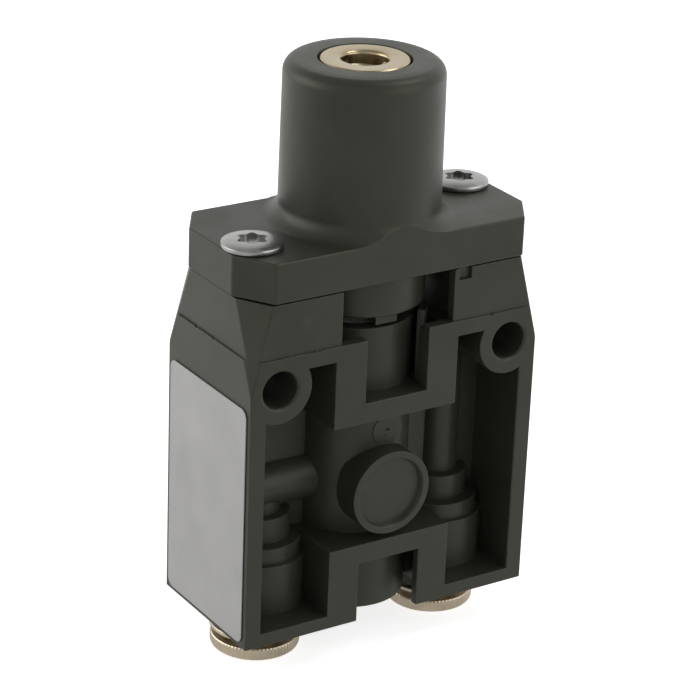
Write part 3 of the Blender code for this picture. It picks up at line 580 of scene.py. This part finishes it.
def make_cap():
    half_width = PLATE_WIDTH / 2
    half_depth = PLATE_DEPTH / 2
    height = (PLATE_BOTTOM, PLATE_TOP)
    cap = block("housing_cap", (-half_width, half_width), (-half_depth, half_depth), height)
    open_for_editing(cap)
    for side in (-1, 1):
        for face in (-1, 1):
            start = world(side * half_width, face * (half_depth - CORNER_Y), PLATE_TOP)
            normal = Vector((side * CORNER_Y, face * CORNER_X, 0)).normalized()
            bpy.ops.mesh.select_all(action="SELECT")
            bpy.ops.mesh.bisect(plane_co=start, plane_no=normal, use_fill=True, clear_outer=True)
    close_editing()
    round_edges(cap, PLATE_ROUND, 3)
    foot_centre = (CAP_RADIUS + CAP_FOOT_ROUND, PLATE_TOP + CAP_FOOT_ROUND)
    foot = quarter(foot_centre, CAP_FOOT_ROUND, 268, 180, 10)
    rim_centre = (CAP_RADIUS - CAP_DRAFT - CAP_RIM_ROUND, CAP_TOP - CAP_RIM_ROUND - 0.05)
    rim = quarter(rim_centre, CAP_RIM_ROUND, 0, 80, 8)
    profile = [(foot[0][0], PLATE_BOTTOM + CAP_TOWER_FOOT)] + foot
    profile += rim + [(7.05, CAP_TOP - 0.04), (6.7, CAP_TOP)]
    tower_of_cap = turned("cap_tower", profile, sides=128, closed=False)
    above_plate = (PLATE_BOTTOM, CAP_TOP + PAST)
    trim = block("trim", (-PLATE_WIDTH, PLATE_WIDTH), (-half_depth, half_depth), above_plate)
    apply_boolean(tower_of_cap, [trim], "INTERSECT")
    weld(cap, tower_of_cap)
    seat = INSERT_BOTTOM - 0.3
    wall = INSERT_RADIUS + INSERT_GAP
    mouth = INSERT_RADIUS + INSERT_MOUTH_GAP
    bore = [(PILOT_BORE, PLATE_BOTTOM - PAST), (PILOT_BORE, PILOT_ROOF), (PILOT_THROAT, PILOT_ROOF)]
    bore += [(PILOT_THROAT, seat), (wall, seat), (wall, CAP_TOP - 0.3)]
    bore += [(mouth, CAP_TOP + 0.02), (mouth, CAP_TOP + PAST)]
    carve(cap, turned("cap_bore", bore, closed=False))
    for side in (-1, 1):
        place = (side * SCREW_X, side * SCREW_Y, 0)
        foot = PLATE_BOTTOM - PAST
        carve(cap, drum("screw_hole", SCREW_HOLE_IN_PLATE, foot, PLATE_TOP + PAST, at=place, sides=32))
    clean_up(cap)
    smooth(cap, 40)
    return cap


# Brass insert with its M5 thread

THREAD_PITCH = 0.8
THREAD_ROOT = 2.5
THREAD_CREST = 2.1
THREAD_OVERLAP = 0.08
THREAD_FOOT_HALF = 0.36
THREAD_TURNS = 6
THREAD_START = 0.35


def make_insert():
    top = CAP_TOP
    profile = [(THREAD_ROOT, INSERT_BOTTOM), (INSERT_RADIUS - 0.3, INSERT_BOTTOM)]
    profile += [(INSERT_RADIUS, INSERT_BOTTOM + 0.3), (INSERT_RADIUS, top - 0.12)]
    profile += [(INSERT_RADIUS - 0.12, top), (2.95, top), (2.75, top - 0.06)]
    profile += [(THREAD_ROOT, top - 0.4)]
    insert = turned("port_insert_body", profile, sides=96)
    smooth(insert, 40)
    return insert


# Winds a section round the part's axis as it rises, and closes both ends.
def wind(piece, turns, rise, steps_per_turn):
    modifier = piece.modifiers.new("Coil", "SCREW")
    modifier.angle = math.radians(360) * turns
    modifier.screw_offset = rise * MM
    modifier.steps = round(steps_per_turn * turns)
    modifier.render_steps = modifier.steps
    modifier.axis = "Z"
    modifier.use_merge_vertices = False
    modifier.use_smooth_shade = True
    pick_only(piece)
    bpy.ops.object.modifier_apply(modifier=modifier.name)
    open_for_editing(piece, "EDGE")
    bpy.ops.mesh.select_all(action="DESELECT")
    bpy.ops.mesh.select_non_manifold()
    bpy.ops.mesh.edge_face_add()
    bpy.ops.mesh.select_all(action="SELECT")
    bpy.ops.mesh.normals_make_consistent(inside=False)
    close_editing()
    smooth(piece, 40)


# The thread's ridge is wound from a small triangle that points at the axis.
def make_thread():
    bpy.ops.object.select_all(action="DESELECT")
    radius = (THREAD_ROOT + THREAD_OVERLAP - THREAD_CREST) / 1.5
    place = world(THREAD_CREST + radius, 0, INSERT_BOTTOM + THREAD_START)
    bpy.ops.mesh.primitive_circle_add(
        vertices=3,
        radius=radius * MM,
        fill_type="NOTHING",
        location=place,
        rotation=(math.radians(90), math.radians(-90), 0),
    )
    ridge = bpy.context.object
    ridge.name = "port_thread"
    set_down(ridge)
    open_for_editing(ridge, "EDGE")
    bpy.ops.mesh.select_all(action="SELECT")
    taller = THREAD_FOOT_HALF / (radius * math.sin(math.radians(60)))
    bpy.ops.transform.resize(value=(1, 1, taller), center_override=place)
    close_editing()
    wind(ridge, THREAD_TURNS, THREAD_TURNS * THREAD_PITCH, 48)
    return ridge


# Return spring, which shortens as the spool comes down; the coil here stays at full length, and only the
# share left is worked out

SPRING_TURNS = 5.5
SPRING_RADIUS = 2.75
SPRING_WIRE = 0.28
SPOOL_TRAVEL = 2.0


# The result has the coil, the height of its fixed foot and the share of its length that is left
# when the spool is all the way down.
def make_spring():
    low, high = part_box("return_spring")
    bpy.ops.object.select_all(action="DESELECT")
    bpy.ops.mesh.primitive_circle_add(
        vertices=10,
        radius=SPRING_WIRE * MM,
        fill_type="NOTHING",
        location=(SPRING_RADIUS * MM, 0, low.z + SPRING_WIRE * MM),
        rotation=(math.radians(90), 0, 0),
    )
    spring = bpy.context.object
    spring.name = "return_spring_coil"
    set_down(spring)
    height = (high.z - low.z) / MM
    wind(spring, SPRING_TURNS, height - 2 * SPRING_WIRE, 32)
    return spring, low.z, 1 - SPOOL_TRAVEL / height


# Cap screws

# A drum with six lobes: its columns of corners between the lobes are drawn in.
def recess_tool(place, floor, top):
    tool = drum("recess", RECESS_RADIUS, floor, top, at=place, sides=36)
    centre = world(*place)

    def steps_from_a_lobe(vertex):
        away = vertex.co - centre
        column = round(math.degrees(math.atan2(away.y, away.x)) / 10)
        return abs((column + 3) % 6 - 3)

    for steps, share in ((1, 0.92), (2, 0.78), (3, 0.73)):
        select_where(tool, "VERT", lambda vertex: steps_from_a_lobe(vertex) == steps)
        bpy.ops.transform.resize(value=(share, share, 1), center_override=centre)
        close_editing()
    return tool


def make_screw(name, side):
    base = PLATE_TOP + SCREW_SEAT
    crown = base + SCREW_HEAD_HEIGHT
    place = (side * SCREW_X, side * SCREW_Y, 0)
    profile = [(0.45, 36.2), (SCREW_SHANK, 37.6), (SCREW_SHANK, base)]
    profile += [(SCREW_HEAD_RADIUS - 0.12, base), (SCREW_HEAD_RADIUS, base + 0.12)]
    profile += [(SCREW_HEAD_RADIUS, base + 0.5), (SCREW_HEAD_RADIUS - 0.1, base + 0.58)]
    profile += [(2.6, base + 0.77), (2.05, crown - 0.05), (0.7, crown)]
    screw = turned(name, profile, place, 72, closed=False)
    round_edges(screw, 0.05, 2, 40)
    carve(screw, recess_tool(place, base + RECESS_FLOOR, crown + 0.5))
    smooth(screw, 40)
    return screw


# Cartridges

def make_sleeve(name, x):
    profile = [(SLEEVE_INNER, -2.2), (FLANGE_RADIUS - 0.1, -2.2), (FLANGE_RADIUS, -2.1)]
    profile += [(FLANGE_RADIUS, -1.8), (FLANGE_RADIUS - 0.1, -1.7), (SLEEVE_OUTER, -1.7)]
    profile += [(SLEEVE_OUTER, 4.95), (3.45, 4.95), (3.45, 6.05), (SLEEVE_OUTER, 6.05)]
    profile += [(SLEEVE_OUTER, 6.5), (SLEEVE_OUTER - 0.2, 6.7), (1.5, 6.7), (1.5, 6.1)]
    profile += [(2.15, 6.1), (2.15, 4.05), (SLEEVE_INNER, 4.05)]
    sleeve = turned(name, profile, (x, 0, 0), 72)
    smooth(sleeve, 40)
    return sleeve


# The ring's outer face is knurled: every second column of corners is drawn in.
def make_release_ring(name, x):
    bottom = -STAND
    lower = quarter((RING_RADIUS - 0.5, bottom + 0.5), 0.5, -90, 0, 5)
    profile = [(TUBE_HOLE, bottom + 0.4), (TUBE_HOLE + 0.15, bottom + 0.12), (TUBE_HOLE + 0.4, bottom)]
    profile += lower + [(RING_RADIUS, RING_TOP - 0.14), (RING_RADIUS - 0.14, RING_TOP)]
    profile += [(3.0, RING_TOP), (3.0, 0.5)]
    profile += [(2.6, 1.0), (TUBE_HOLE, 1.0)]
    ring = turned(name, profile, (x, 0, 0), RING_SIDES)
    centre = world(x, 0, 0)
    column = 360 / RING_SIDES

    def in_a_groove(vertex):
        place = (vertex.co - centre) / MM
        radius = math.hypot(place.x, place.y)
        number = round(math.degrees(math.atan2(place.y, place.x)) / column)
        return radius > RING_RADIUS - 0.05 and number % 2 == 1

    select_where(ring, "VERT", in_a_groove)
    drawn_in = 1 - KNURL_DEPTH / RING_RADIUS
    bpy.ops.transform.resize(value=(drawn_in, drawn_in, 1), center_override=centre)
    close_editing()
    smooth(ring, 12)
    return ring


# Exhaust spacer with its four legs, seen through the opening

SPACER_BORE = 2.4
SPACER_RADIUS = 7.6
SPACER_NECK = 6.05
SPACER_GROOVE = 5.15
LEG_REACH = (4.1, 6.3)
LEG_HALF_WIDTH = 1.4
LEG_HEIGHT = (34.5, 36.3)


def make_spacer():
    profile = [(SPACER_BORE, 35.8), (SPACER_RADIUS - 0.25, 35.8), (SPACER_RADIUS, 36.05)]
    profile += [(SPACER_RADIUS, 40.05), (SPACER_RADIUS - 0.15, 40.2), (SPACER_NECK, 40.2)]
    profile += [(SPACER_NECK, 41.2), (SPACER_GROOVE, 41.2), (SPACER_GROOVE, 42.4), (SPACER_NECK, 42.4)]
    profile += [(SPACER_NECK, 43.3), (SPACER_NECK - 0.1, 43.4), (SPACER_BORE, 43.4)]
    spacer = turned("exhaust_spacer_ring", profile, sides=96)
    for turn in range(4):
        along_x = turn % 2 == 0
        sign = 1 if turn < 2 else -1
        reach = sorted((sign * LEG_REACH[0], sign * LEG_REACH[1]))
        width = (-LEG_HALF_WIDTH, LEG_HALF_WIDTH)
        x, y = (reach, width) if along_x else (width, reach)
        weld(spacer, block("leg", x, y, LEG_HEIGHT))
    round_edges(spacer, 0.1, 2, 40)
    smooth(spacer, 40)
    return spacer


# Label

LABEL_CORNER = 1.0


def make_label():
    low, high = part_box("label")
    bpy.ops.object.select_all(action="DESELECT")
    bpy.ops.mesh.primitive_cube_add(size=1, location=(low + high) / 2, scale=high - low)
    label = bpy.context.object
    label.name = "side_label"
    set_down(label)
    corners = [vertex.co.copy() for vertex in label.data.vertices]

    def through_the_film(edge):
        start, end = edge.vertices
        return abs(corners[start].x - corners[end].x) > 0.01 * MM

    select_where(label, "EDGE", through_the_film)
    bpy.ops.mesh.bevel(offset=LABEL_CORNER * MM, segments=6, affect="EDGES")
    close_editing()
    round_edges(label, 0.03, 2, 40)
    smooth(label, 40)
    return label


# Materials

def new_material(name, roughness, metallic=0.0):
    material = bpy.data.materials.new(name)
    material.use_nodes = True
    shader = material.node_tree.nodes["Principled BSDF"]
    shader.inputs["Roughness"].default_value = roughness
    shader.inputs["Metallic"].default_value = metallic
    return material, shader


class Wiring:
    """Adds nodes to one tree and joins their sockets."""

    def __init__(self, tree):
        self.tree = tree

    def add(self, kind, **settings):
        node = self.tree.nodes.new(kind)
        for key, value in settings.items():
            setattr(node, key, value)
        return node

    def join(self, source, target):
        self.tree.links.new(source, target)

    def math(self, operation, first, second=0.5, third=None, clamp=False):
        node = self.add("ShaderNodeMath", operation=operation, use_clamp=clamp)
        for socket, value in zip(node.inputs, (first, second, third)):
            if value is None:
                continue
            if isinstance(value, (int, float)):
                socket.default_value = value
            else:
                self.join(value, socket)
        return node.outputs[0]

    # The scale is a number or a socket.
    def noise(self, vector, scale, detail):
        node = self.add("ShaderNodeTexNoise")
        self.join(vector, node.inputs["Vector"])
        if isinstance(scale, float):
            node.inputs["Scale"].default_value = scale
        else:
            self.join(scale, node.inputs["Scale"])
        node.inputs["Detail"].default_value = detail
        return node.outputs["Fac"]

    def window(self, value, low, high):
        node = self.add("ShaderNodeMapRange")
        self.join(value, node.inputs["Value"])
        node.inputs["From Min"].default_value = low
        node.inputs["From Max"].default_value = high
        return node.outputs["Result"]

    def blend(self, factor, first, second):
        node = self.add("ShaderNodeMix", data_type="RGBA", blend_type="MIX")
        self.join(factor, node.inputs["Factor"])
        for label, value in (("A", first), ("B", second)):
            if isinstance(value, tuple):
                node.inputs[label].default_value = (*value, 1.0)
            else:
                self.join(value, node.inputs[label])
        return node.outputs["Result"]


def new_group(name, inputs, outputs):
    group = bpy.data.node_groups.new(name, "ShaderNodeTree")
    for label, kind, value in inputs:
        socket = group.interface.new_socket(name=label, in_out="INPUT", socket_type="NodeSocket" + kind)
        if value is not None:
            socket.default_value = value
    for label, kind in outputs:
        group.interface.new_socket(name=label, in_out="OUTPUT", socket_type="NodeSocket" + kind)
    wiring = Wiring(group)
    source = wiring.add("NodeGroupInput").outputs
    target = wiring.add("NodeGroupOutput").inputs
    return group, wiring, source, target


# Fine moulded grain with a slow mottle; the height feeds a Bump node.
def grain_group():
    group, wiring, source, target = new_group(
        "Moulded grain",
        [("Vector", "Vector", None), ("Grain Scale", "Float", 5000.0), ("Mottle Scale", "Float", 180.0)],
        [("Height", "Float"), ("Mottle", "Float")],
    )
    fine = wiring.noise(source["Vector"], source["Grain Scale"], 2.0)
    slow = wiring.noise(source["Vector"], source["Mottle Scale"], 4.0)
    share = wiring.math("MULTIPLY", slow, 0.6)
    wiring.join(wiring.math("ADD", fine, share), target["Height"])
    wiring.join(wiring.window(slow, 0.3, 0.7), target["Mottle"])
    return group


# Scattered dust: small bright dots, most cells stay empty.
def dust_group():
    group, wiring, source, target = new_group(
        "Dust",
        [
            ("Vector", "Vector", None),
            ("Cells", "Float", 320.0),
            ("Share", "Float", 0.1),
            ("Size", "Float", 0.1),
        ],
        [("Mask", "Float")],
    )
    cells = wiring.add("ShaderNodeTexVoronoi")
    wiring.join(source["Vector"], cells.inputs["Vector"])
    wiring.join(source["Cells"], cells.inputs["Scale"])
    dots = wiring.math("LESS_THAN", cells.outputs["Distance"], source["Size"])
    split = wiring.add("ShaderNodeSeparateColor")
    wiring.join(cells.outputs["Color"], split.inputs["Color"])
    chosen = wiring.math("LESS_THAN", split.outputs["Red"], source["Share"])
    wiring.join(wiring.math("MULTIPLY", dots, chosen), target["Mask"])
    return group


# Long faint scratches: stretched noise, of which only the peaks count.
def scratch_group():
    group, wiring, source, target = new_group(
        "Scratches",
        [("Vector", "Vector", None), ("Scale", "Float", 300.0), ("Level", "Float", 0.7)],
        [("Mask", "Float")],
    )
    stretch = wiring.add("ShaderNodeMapping")
    wiring.join(source["Vector"], stretch.inputs["Vector"])
    stretch.inputs["Rotation"].default_value = (0.4, 0.9, 0.3)
    stretch.inputs["Scale"].default_value = (1.0, 14.0, 0.6)
    lines = wiring.noise(stretch.outputs["Vector"], source["Scale"], 1.0)
    over = wiring.math("SUBTRACT", lines, source["Level"])
    wiring.join(wiring.math("MULTIPLY", over, 12.0, clamp=True), target["Mask"])
    return group


# Worn edges: where a rounded normal turns away from the face's own one, in patches.
def wear_group():
    group, wiring, source, target = new_group(
        "Edge wear",
        [("Vector", "Vector", None), ("Reach", "Float", 0.0002)],
        [("Mask", "Float")],
    )
    rounded = wiring.add("ShaderNodeBevel", samples=4)
    wiring.join(source["Reach"], rounded.inputs["Radius"])
    true_normal = wiring.add("ShaderNodeNewGeometry").outputs["Normal"]
    dot = wiring.add("ShaderNodeVectorMath", operation="DOT_PRODUCT")
    wiring.join(rounded.outputs["Normal"], dot.inputs[0])
    wiring.join(true_normal, dot.inputs[1])
    edge = wiring.window(dot.outputs["Value"], 0.995, 0.9)
    patches = wiring.window(wiring.noise(source["Vector"], 600.0, 4.0), 0.35, 0.65)
    wiring.join(wiring.math("MULTIPLY", edge, patches), target["Mask"])
    return group


GRAIN = grain_group()
WEAR = wear_group()
DUST = dust_group()
SCRATCHES = scratch_group()


def place_group(wiring, group, vector, **values):
    node = wiring.add("ShaderNodeGroup", node_tree=group)
    wiring.join(vector, node.inputs["Vector"])
    for label, value in values.items():
        node.inputs[label.replace("_", " ")].default_value = value
    return node.outputs


def bump(wiring, height, strength, distance):
    node = wiring.add("ShaderNodeBump")
    node.inputs["Strength"].default_value = strength
    node.inputs["Distance"].default_value = distance
    wiring.join(height, node.inputs["Height"])
    return node.outputs["Normal"]


def black_polymer():
    material, shader = new_material("Black polymer", 0.4)
    wiring = Wiring(material.node_tree)
    place = wiring.add("ShaderNodeTexCoord").outputs["Object"]
    grain = place_group(wiring, GRAIN, place, Grain_Scale=6500.0, Mottle_Scale=160.0)
    dust = place_group(wiring, DUST, place, Cells=420.0, Share=0.05, Size=0.07)["Mask"]
    scratches = place_group(wiring, SCRATCHES, place, Scale=260.0, Level=0.71)["Mask"]
    wear = place_group(wiring, WEAR, place, Reach=0.00022)["Mask"]
    colour = wiring.blend(grain["Mottle"], (0.026, 0.0268, 0.0195), (0.033, 0.034, 0.026))
    colour = wiring.blend(wiring.math("MULTIPLY", wear, 0.5), colour, (0.085, 0.087, 0.075))
    colour = wiring.blend(wiring.math("MULTIPLY", scratches, 0.2), colour, (0.09, 0.09, 0.08))
    colour = wiring.blend(wiring.math("MULTIPLY", dust, 0.8), colour, (0.45, 0.43, 0.35))
    wiring.join(colour, shader.inputs["Base Color"])
    rough = wiring.math("MULTIPLY_ADD", grain["Mottle"], 0.12, 0.34)
    wiring.join(rough, shader.inputs["Roughness"])
    wiring.join(bump(wiring, grain["Height"], 0.22, 0.00002), shader.inputs["Normal"])
    shader.inputs["IOR"].default_value = 1.4
    shader.inputs["Specular Tint"].default_value = (1.0, 0.995, 0.85, 1.0)
    return material


def turned_metal(name, dark, light, roughness):
    material, shader = new_material(name, roughness, 1.0)
    wiring = Wiring(material.node_tree)
    place = wiring.add("ShaderNodeTexCoord").outputs["Object"]
    grain = place_group(wiring, GRAIN, place, Grain_Scale=4200.0, Mottle_Scale=420.0)
    scratches = place_group(wiring, SCRATCHES, place, Scale=900.0, Level=0.66)["Mask"]
    colour = wiring.blend(grain["Mottle"], dark, light)
    colour = wiring.blend(wiring.math("MULTIPLY", scratches, 0.4), colour, dark)
    wiring.join(colour, shader.inputs["Base Color"])
    rough = wiring.math("MULTIPLY_ADD", grain["Mottle"], 0.14, roughness - 0.05)
    wiring.join(rough, shader.inputs["Roughness"])
    wiring.join(bump(wiring, grain["Height"], 0.16, 0.00001), shader.inputs["Normal"])
    return material


def soft_plastic(name, dark, light, roughness):
    material, shader = new_material(name, roughness)
    wiring = Wiring(material.node_tree)
    place = wiring.add("ShaderNodeTexCoord").outputs["Object"]
    grain = place_group(wiring, GRAIN, place, Grain_Scale=5200.0, Mottle_Scale=300.0)
    wiring.join(wiring.blend(grain["Mottle"], dark, light), shader.inputs["Base Color"])
    wiring.join(bump(wiring, grain["Height"], 0.15, 0.00002), shader.inputs["Normal"])
    return material


def label_film():
    material, shader = new_material("Label film", 0.42)
    wiring = Wiring(material.node_tree)
    place = wiring.add("ShaderNodeTexCoord").outputs["Object"]
    grain = place_group(wiring, GRAIN, place, Grain_Scale=3000.0, Mottle_Scale=140.0)
    scratches = place_group(wiring, SCRATCHES, place, Scale=420.0, Level=0.68)["Mask"]
    colour = wiring.blend(grain["Mottle"], (0.36, 0.355, 0.345), (0.42, 0.415, 0.40))
    colour = wiring.blend(wiring.math("MULTIPLY", scratches, 0.35), colour, (0.27, 0.27, 0.26))
    wiring.join(colour, shader.inputs["Base Color"])
    wiring.join(bump(wiring, grain["Height"], 0.12, 0.00003), shader.inputs["Normal"])
    return material


MATERIALS = {
    "black_polymer": black_polymer(),
    "pale_brass": turned_metal("Pale brass", (0.37, 0.29, 0.165), (0.51, 0.43, 0.29), 0.26),
    "satin_nickel": turned_metal("Satin nickel", (0.50, 0.425, 0.315), (0.66, 0.57, 0.44), 0.32),
    "zinc_plating": turned_metal("Zinc plating", (0.33, 0.33, 0.32), (0.47, 0.47, 0.46), 0.32),
    "spring_steel": turned_metal("Spring steel", (0.34, 0.34, 0.35), (0.48, 0.48, 0.49), 0.28),
    "aluminium": turned_metal("Aluminium", (0.55, 0.55, 0.56), (0.70, 0.70, 0.71), 0.28),
    # The acetal's off-white is its own colour, but it is set darker than that as painted shade, since it is
    # seen only deep in a gap.
    "white_acetal": soft_plastic("White acetal with painted shade", (0.50, 0.49, 0.44), (0.58, 0.57, 0.52), 0.42),
    "nitrile_rubber": soft_plastic("Nitrile rubber", (0.014, 0.014, 0.014), (0.026, 0.026, 0.025), 0.6),
    "label_film": label_film(),
}


def finish_piece(piece, slot, body_name, *nodes):
    piece.data.materials.clear()
    piece.data.materials.append(MATERIALS[slot])
    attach(piece, body_name)
    if nodes:
        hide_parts(*nodes)


for entry in frame["record"]["subparts"]:
    node = frame["nodes"][entry["node"]]
    for material_slot in node.material_slots:
        material_slot.material = MATERIALS[entry["material_slot"]]

finish_piece(make_body(), "black_polymer", "housing", "valve_body")
finish_piece(make_cap(), "black_polymer", "housing", "pilot_cap")
finish_piece(make_insert(), "pale_brass", "housing", "port_insert")
finish_piece(make_thread(), "pale_brass", "housing")
finish_piece(make_spacer(), "black_polymer", "housing", "exhaust_spacer")
spring_coil, spring_foot, share_kept = make_spring()
finish_piece(spring_coil, "spring_steel", "housing", "return_spring")
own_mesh(spring_coil)
finish_piece(make_label(), "label_film", "housing", "label")
for side_name, side in (("left", -1), ("right", 1)):
    x = side * PORT_X
    screw = make_screw("cap_screw_head_" + side_name, side)
    finish_piece(screw, "zinc_plating", "housing", "cap_screw_" + side_name)
    sleeve = make_sleeve("sleeve_" + side_name, x)
    finish_piece(sleeve, "satin_nickel", "housing", "cartridge_sleeve_" + side_name)
    ring = make_release_ring("knurled_ring_" + side_name, x)
    finish_piece(ring, "satin_nickel", "release_" + side_name, "release_ring_" + side_name)


# Floor, backdrop, lamps and camera

# The floor's and the lamps' sizes and places are in metres.
FLOOR_SIZE = 3.0
FLOOR_GAP = 0.0001
LAMP_AIM = (0, 0, 0.03)

# The camera was fitted to the photograph: a long lens, a little above and left of the front.
CAMERA_AZIMUTH = -33.266
CAMERA_ELEVATION = 23.117
CAMERA_ROLL = 2.28
CAMERA_DISTANCE = 309.2
CAMERA_TARGET = (-0.455, 0.0, 29.025)
CAMERA_LENS = 143.0


# The floor is white where it is seen. What the part mirrors of it fades from behind towards the front.
def pale_surface(name, shade, glow):
    material, shader = new_material(name, 0.9)
    shader.inputs["Base Color"].default_value = (shade, shade, shade, 1.0)
    wiring = Wiring(material.node_tree)
    rays = wiring.add("ShaderNodeLightPath").outputs
    forward = wiring.add("ShaderNodeVectorMath", operation="DOT_PRODUCT")
    wiring.join(wiring.add("ShaderNodeTexCoord").outputs["Object"], forward.inputs[0])
    azimuth = math.radians(CAMERA_AZIMUTH)
    forward.inputs[1].default_value = (math.sin(azimuth), -math.cos(azimuth), 0)
    mirrored = wiring.math("MULTIPLY", wiring.window(forward.outputs["Value"], 0.06, -0.02), 0.6)
    seen = wiring.math("MAXIMUM", rays["Is Camera Ray"], rays["Is Transmission Ray"])
    seen = wiring.math("MAXIMUM", seen, wiring.math("MULTIPLY", rays["Is Glossy Ray"], mirrored))
    shader.inputs["Emission Color"].default_value = (1.0, 1.0, 1.0, 1.0)
    wiring.join(wiring.math("MULTIPLY", seen, glow), shader.inputs["Emission Strength"])
    return material


def make_floor():
    bpy.ops.object.select_all(action="DESELECT")
    bpy.ops.mesh.primitive_plane_add(size=FLOOR_SIZE, location=(0, 0, -FLOOR_GAP))
    floor = bpy.context.object
    floor.name = "studio_floor"
    set_down(floor)
    floor.data.materials.append(pale_surface("Floor", 0.8, 0.72))


# The room is white where it is seen. What the part mirrors of its front and its ceiling is darker.
def make_world():
    sky = bpy.data.worlds.new("Studio")
    bpy.context.scene.world = sky
    sky.use_nodes = True
    wiring = Wiring(sky.node_tree)
    background = sky.node_tree.nodes["Background"]
    rays = wiring.add("ShaderNodeLightPath").outputs
    direction = wiring.add("ShaderNodeSeparateXYZ")
    wiring.join(wiring.add("ShaderNodeTexCoord").outputs["Generated"], direction.inputs[0])
    behind = wiring.math("MULTIPLY_ADD", wiring.window(direction.outputs["Y"], -0.95, -0.2), 0.6, 0.4)
    low = wiring.math("MULTIPLY_ADD", wiring.window(direction.outputs["Z"], 0.85, 0.5), 0.65, 0.35)
    mirrored = wiring.math("MULTIPLY", rays["Is Glossy Ray"], wiring.math("MULTIPLY", behind, low))
    seen = wiring.math("MAXIMUM", rays["Is Camera Ray"], rays["Is Transmission Ray"])
    seen = wiring.math("MAXIMUM", seen, mirrored)
    background.inputs["Color"].default_value = (1.0, 1.0, 1.0, 1.0)
    fill = wiring.math("MULTIPLY", rays["Is Diffuse Ray"], 0.55)
    wiring.join(wiring.math("MAXIMUM", seen, fill), background.inputs["Strength"])


def add_lamp(name, place, size, watts):
    lamp = bpy.data.lights.new(name, "AREA")
    lamp.shape = "DISK"
    lamp.size = size
    lamp.energy = watts
    holder = bpy.data.objects.new(name, lamp)
    bpy.context.scene.collection.objects.link(holder)
    direction = Vector(LAMP_AIM) - Vector(place)
    holder.matrix_world = Matrix.Translation(place) @ direction.to_track_quat("-Z", "Y").to_matrix().to_4x4()


def make_camera():
    azimuth = math.radians(CAMERA_AZIMUTH)
    elevation = math.radians(CAMERA_ELEVATION)
    roll = math.radians(CAMERA_ROLL)
    level_reach = math.cos(elevation)
    back = Vector((math.sin(azimuth) * level_reach, -math.cos(azimuth) * level_reach, math.sin(elevation)))
    level = (-back).cross(Vector((0, 0, 1))).normalized()
    upright = level.cross(-back)
    right = math.cos(roll) * level + math.sin(roll) * upright
    up = -math.sin(roll) * level + math.cos(roll) * upright
    place = world(*CAMERA_TARGET) + back * CAMERA_DISTANCE * MM
    camera = bpy.data.cameras.new("Camera")
    camera.lens = CAMERA_LENS
    camera.sensor_width = 36.0
    camera.clip_start = 0.01
    camera.clip_end = 20.0
    holder = bpy.data.objects.new("Camera", camera)
    bpy.context.scene.collection.objects.link(holder)
    turn = Matrix((right, up, back)).transposed().to_4x4()
    holder.matrix_world = Matrix.Translation(place) @ turn
    bpy.context.scene.camera = holder


make_floor()
make_world()
add_lamp("Left", (-0.85, 0.55, 0.22), 1.0, 4.8)
add_lamp("Front", (0.45, -0.88, 0.3), 0.9, 2.8)
add_lamp("High right", (0.5, -0.15, 0.85), 0.45, 1.8)
make_camera()

bpy.context.scene.view_settings.view_transform = "Standard"
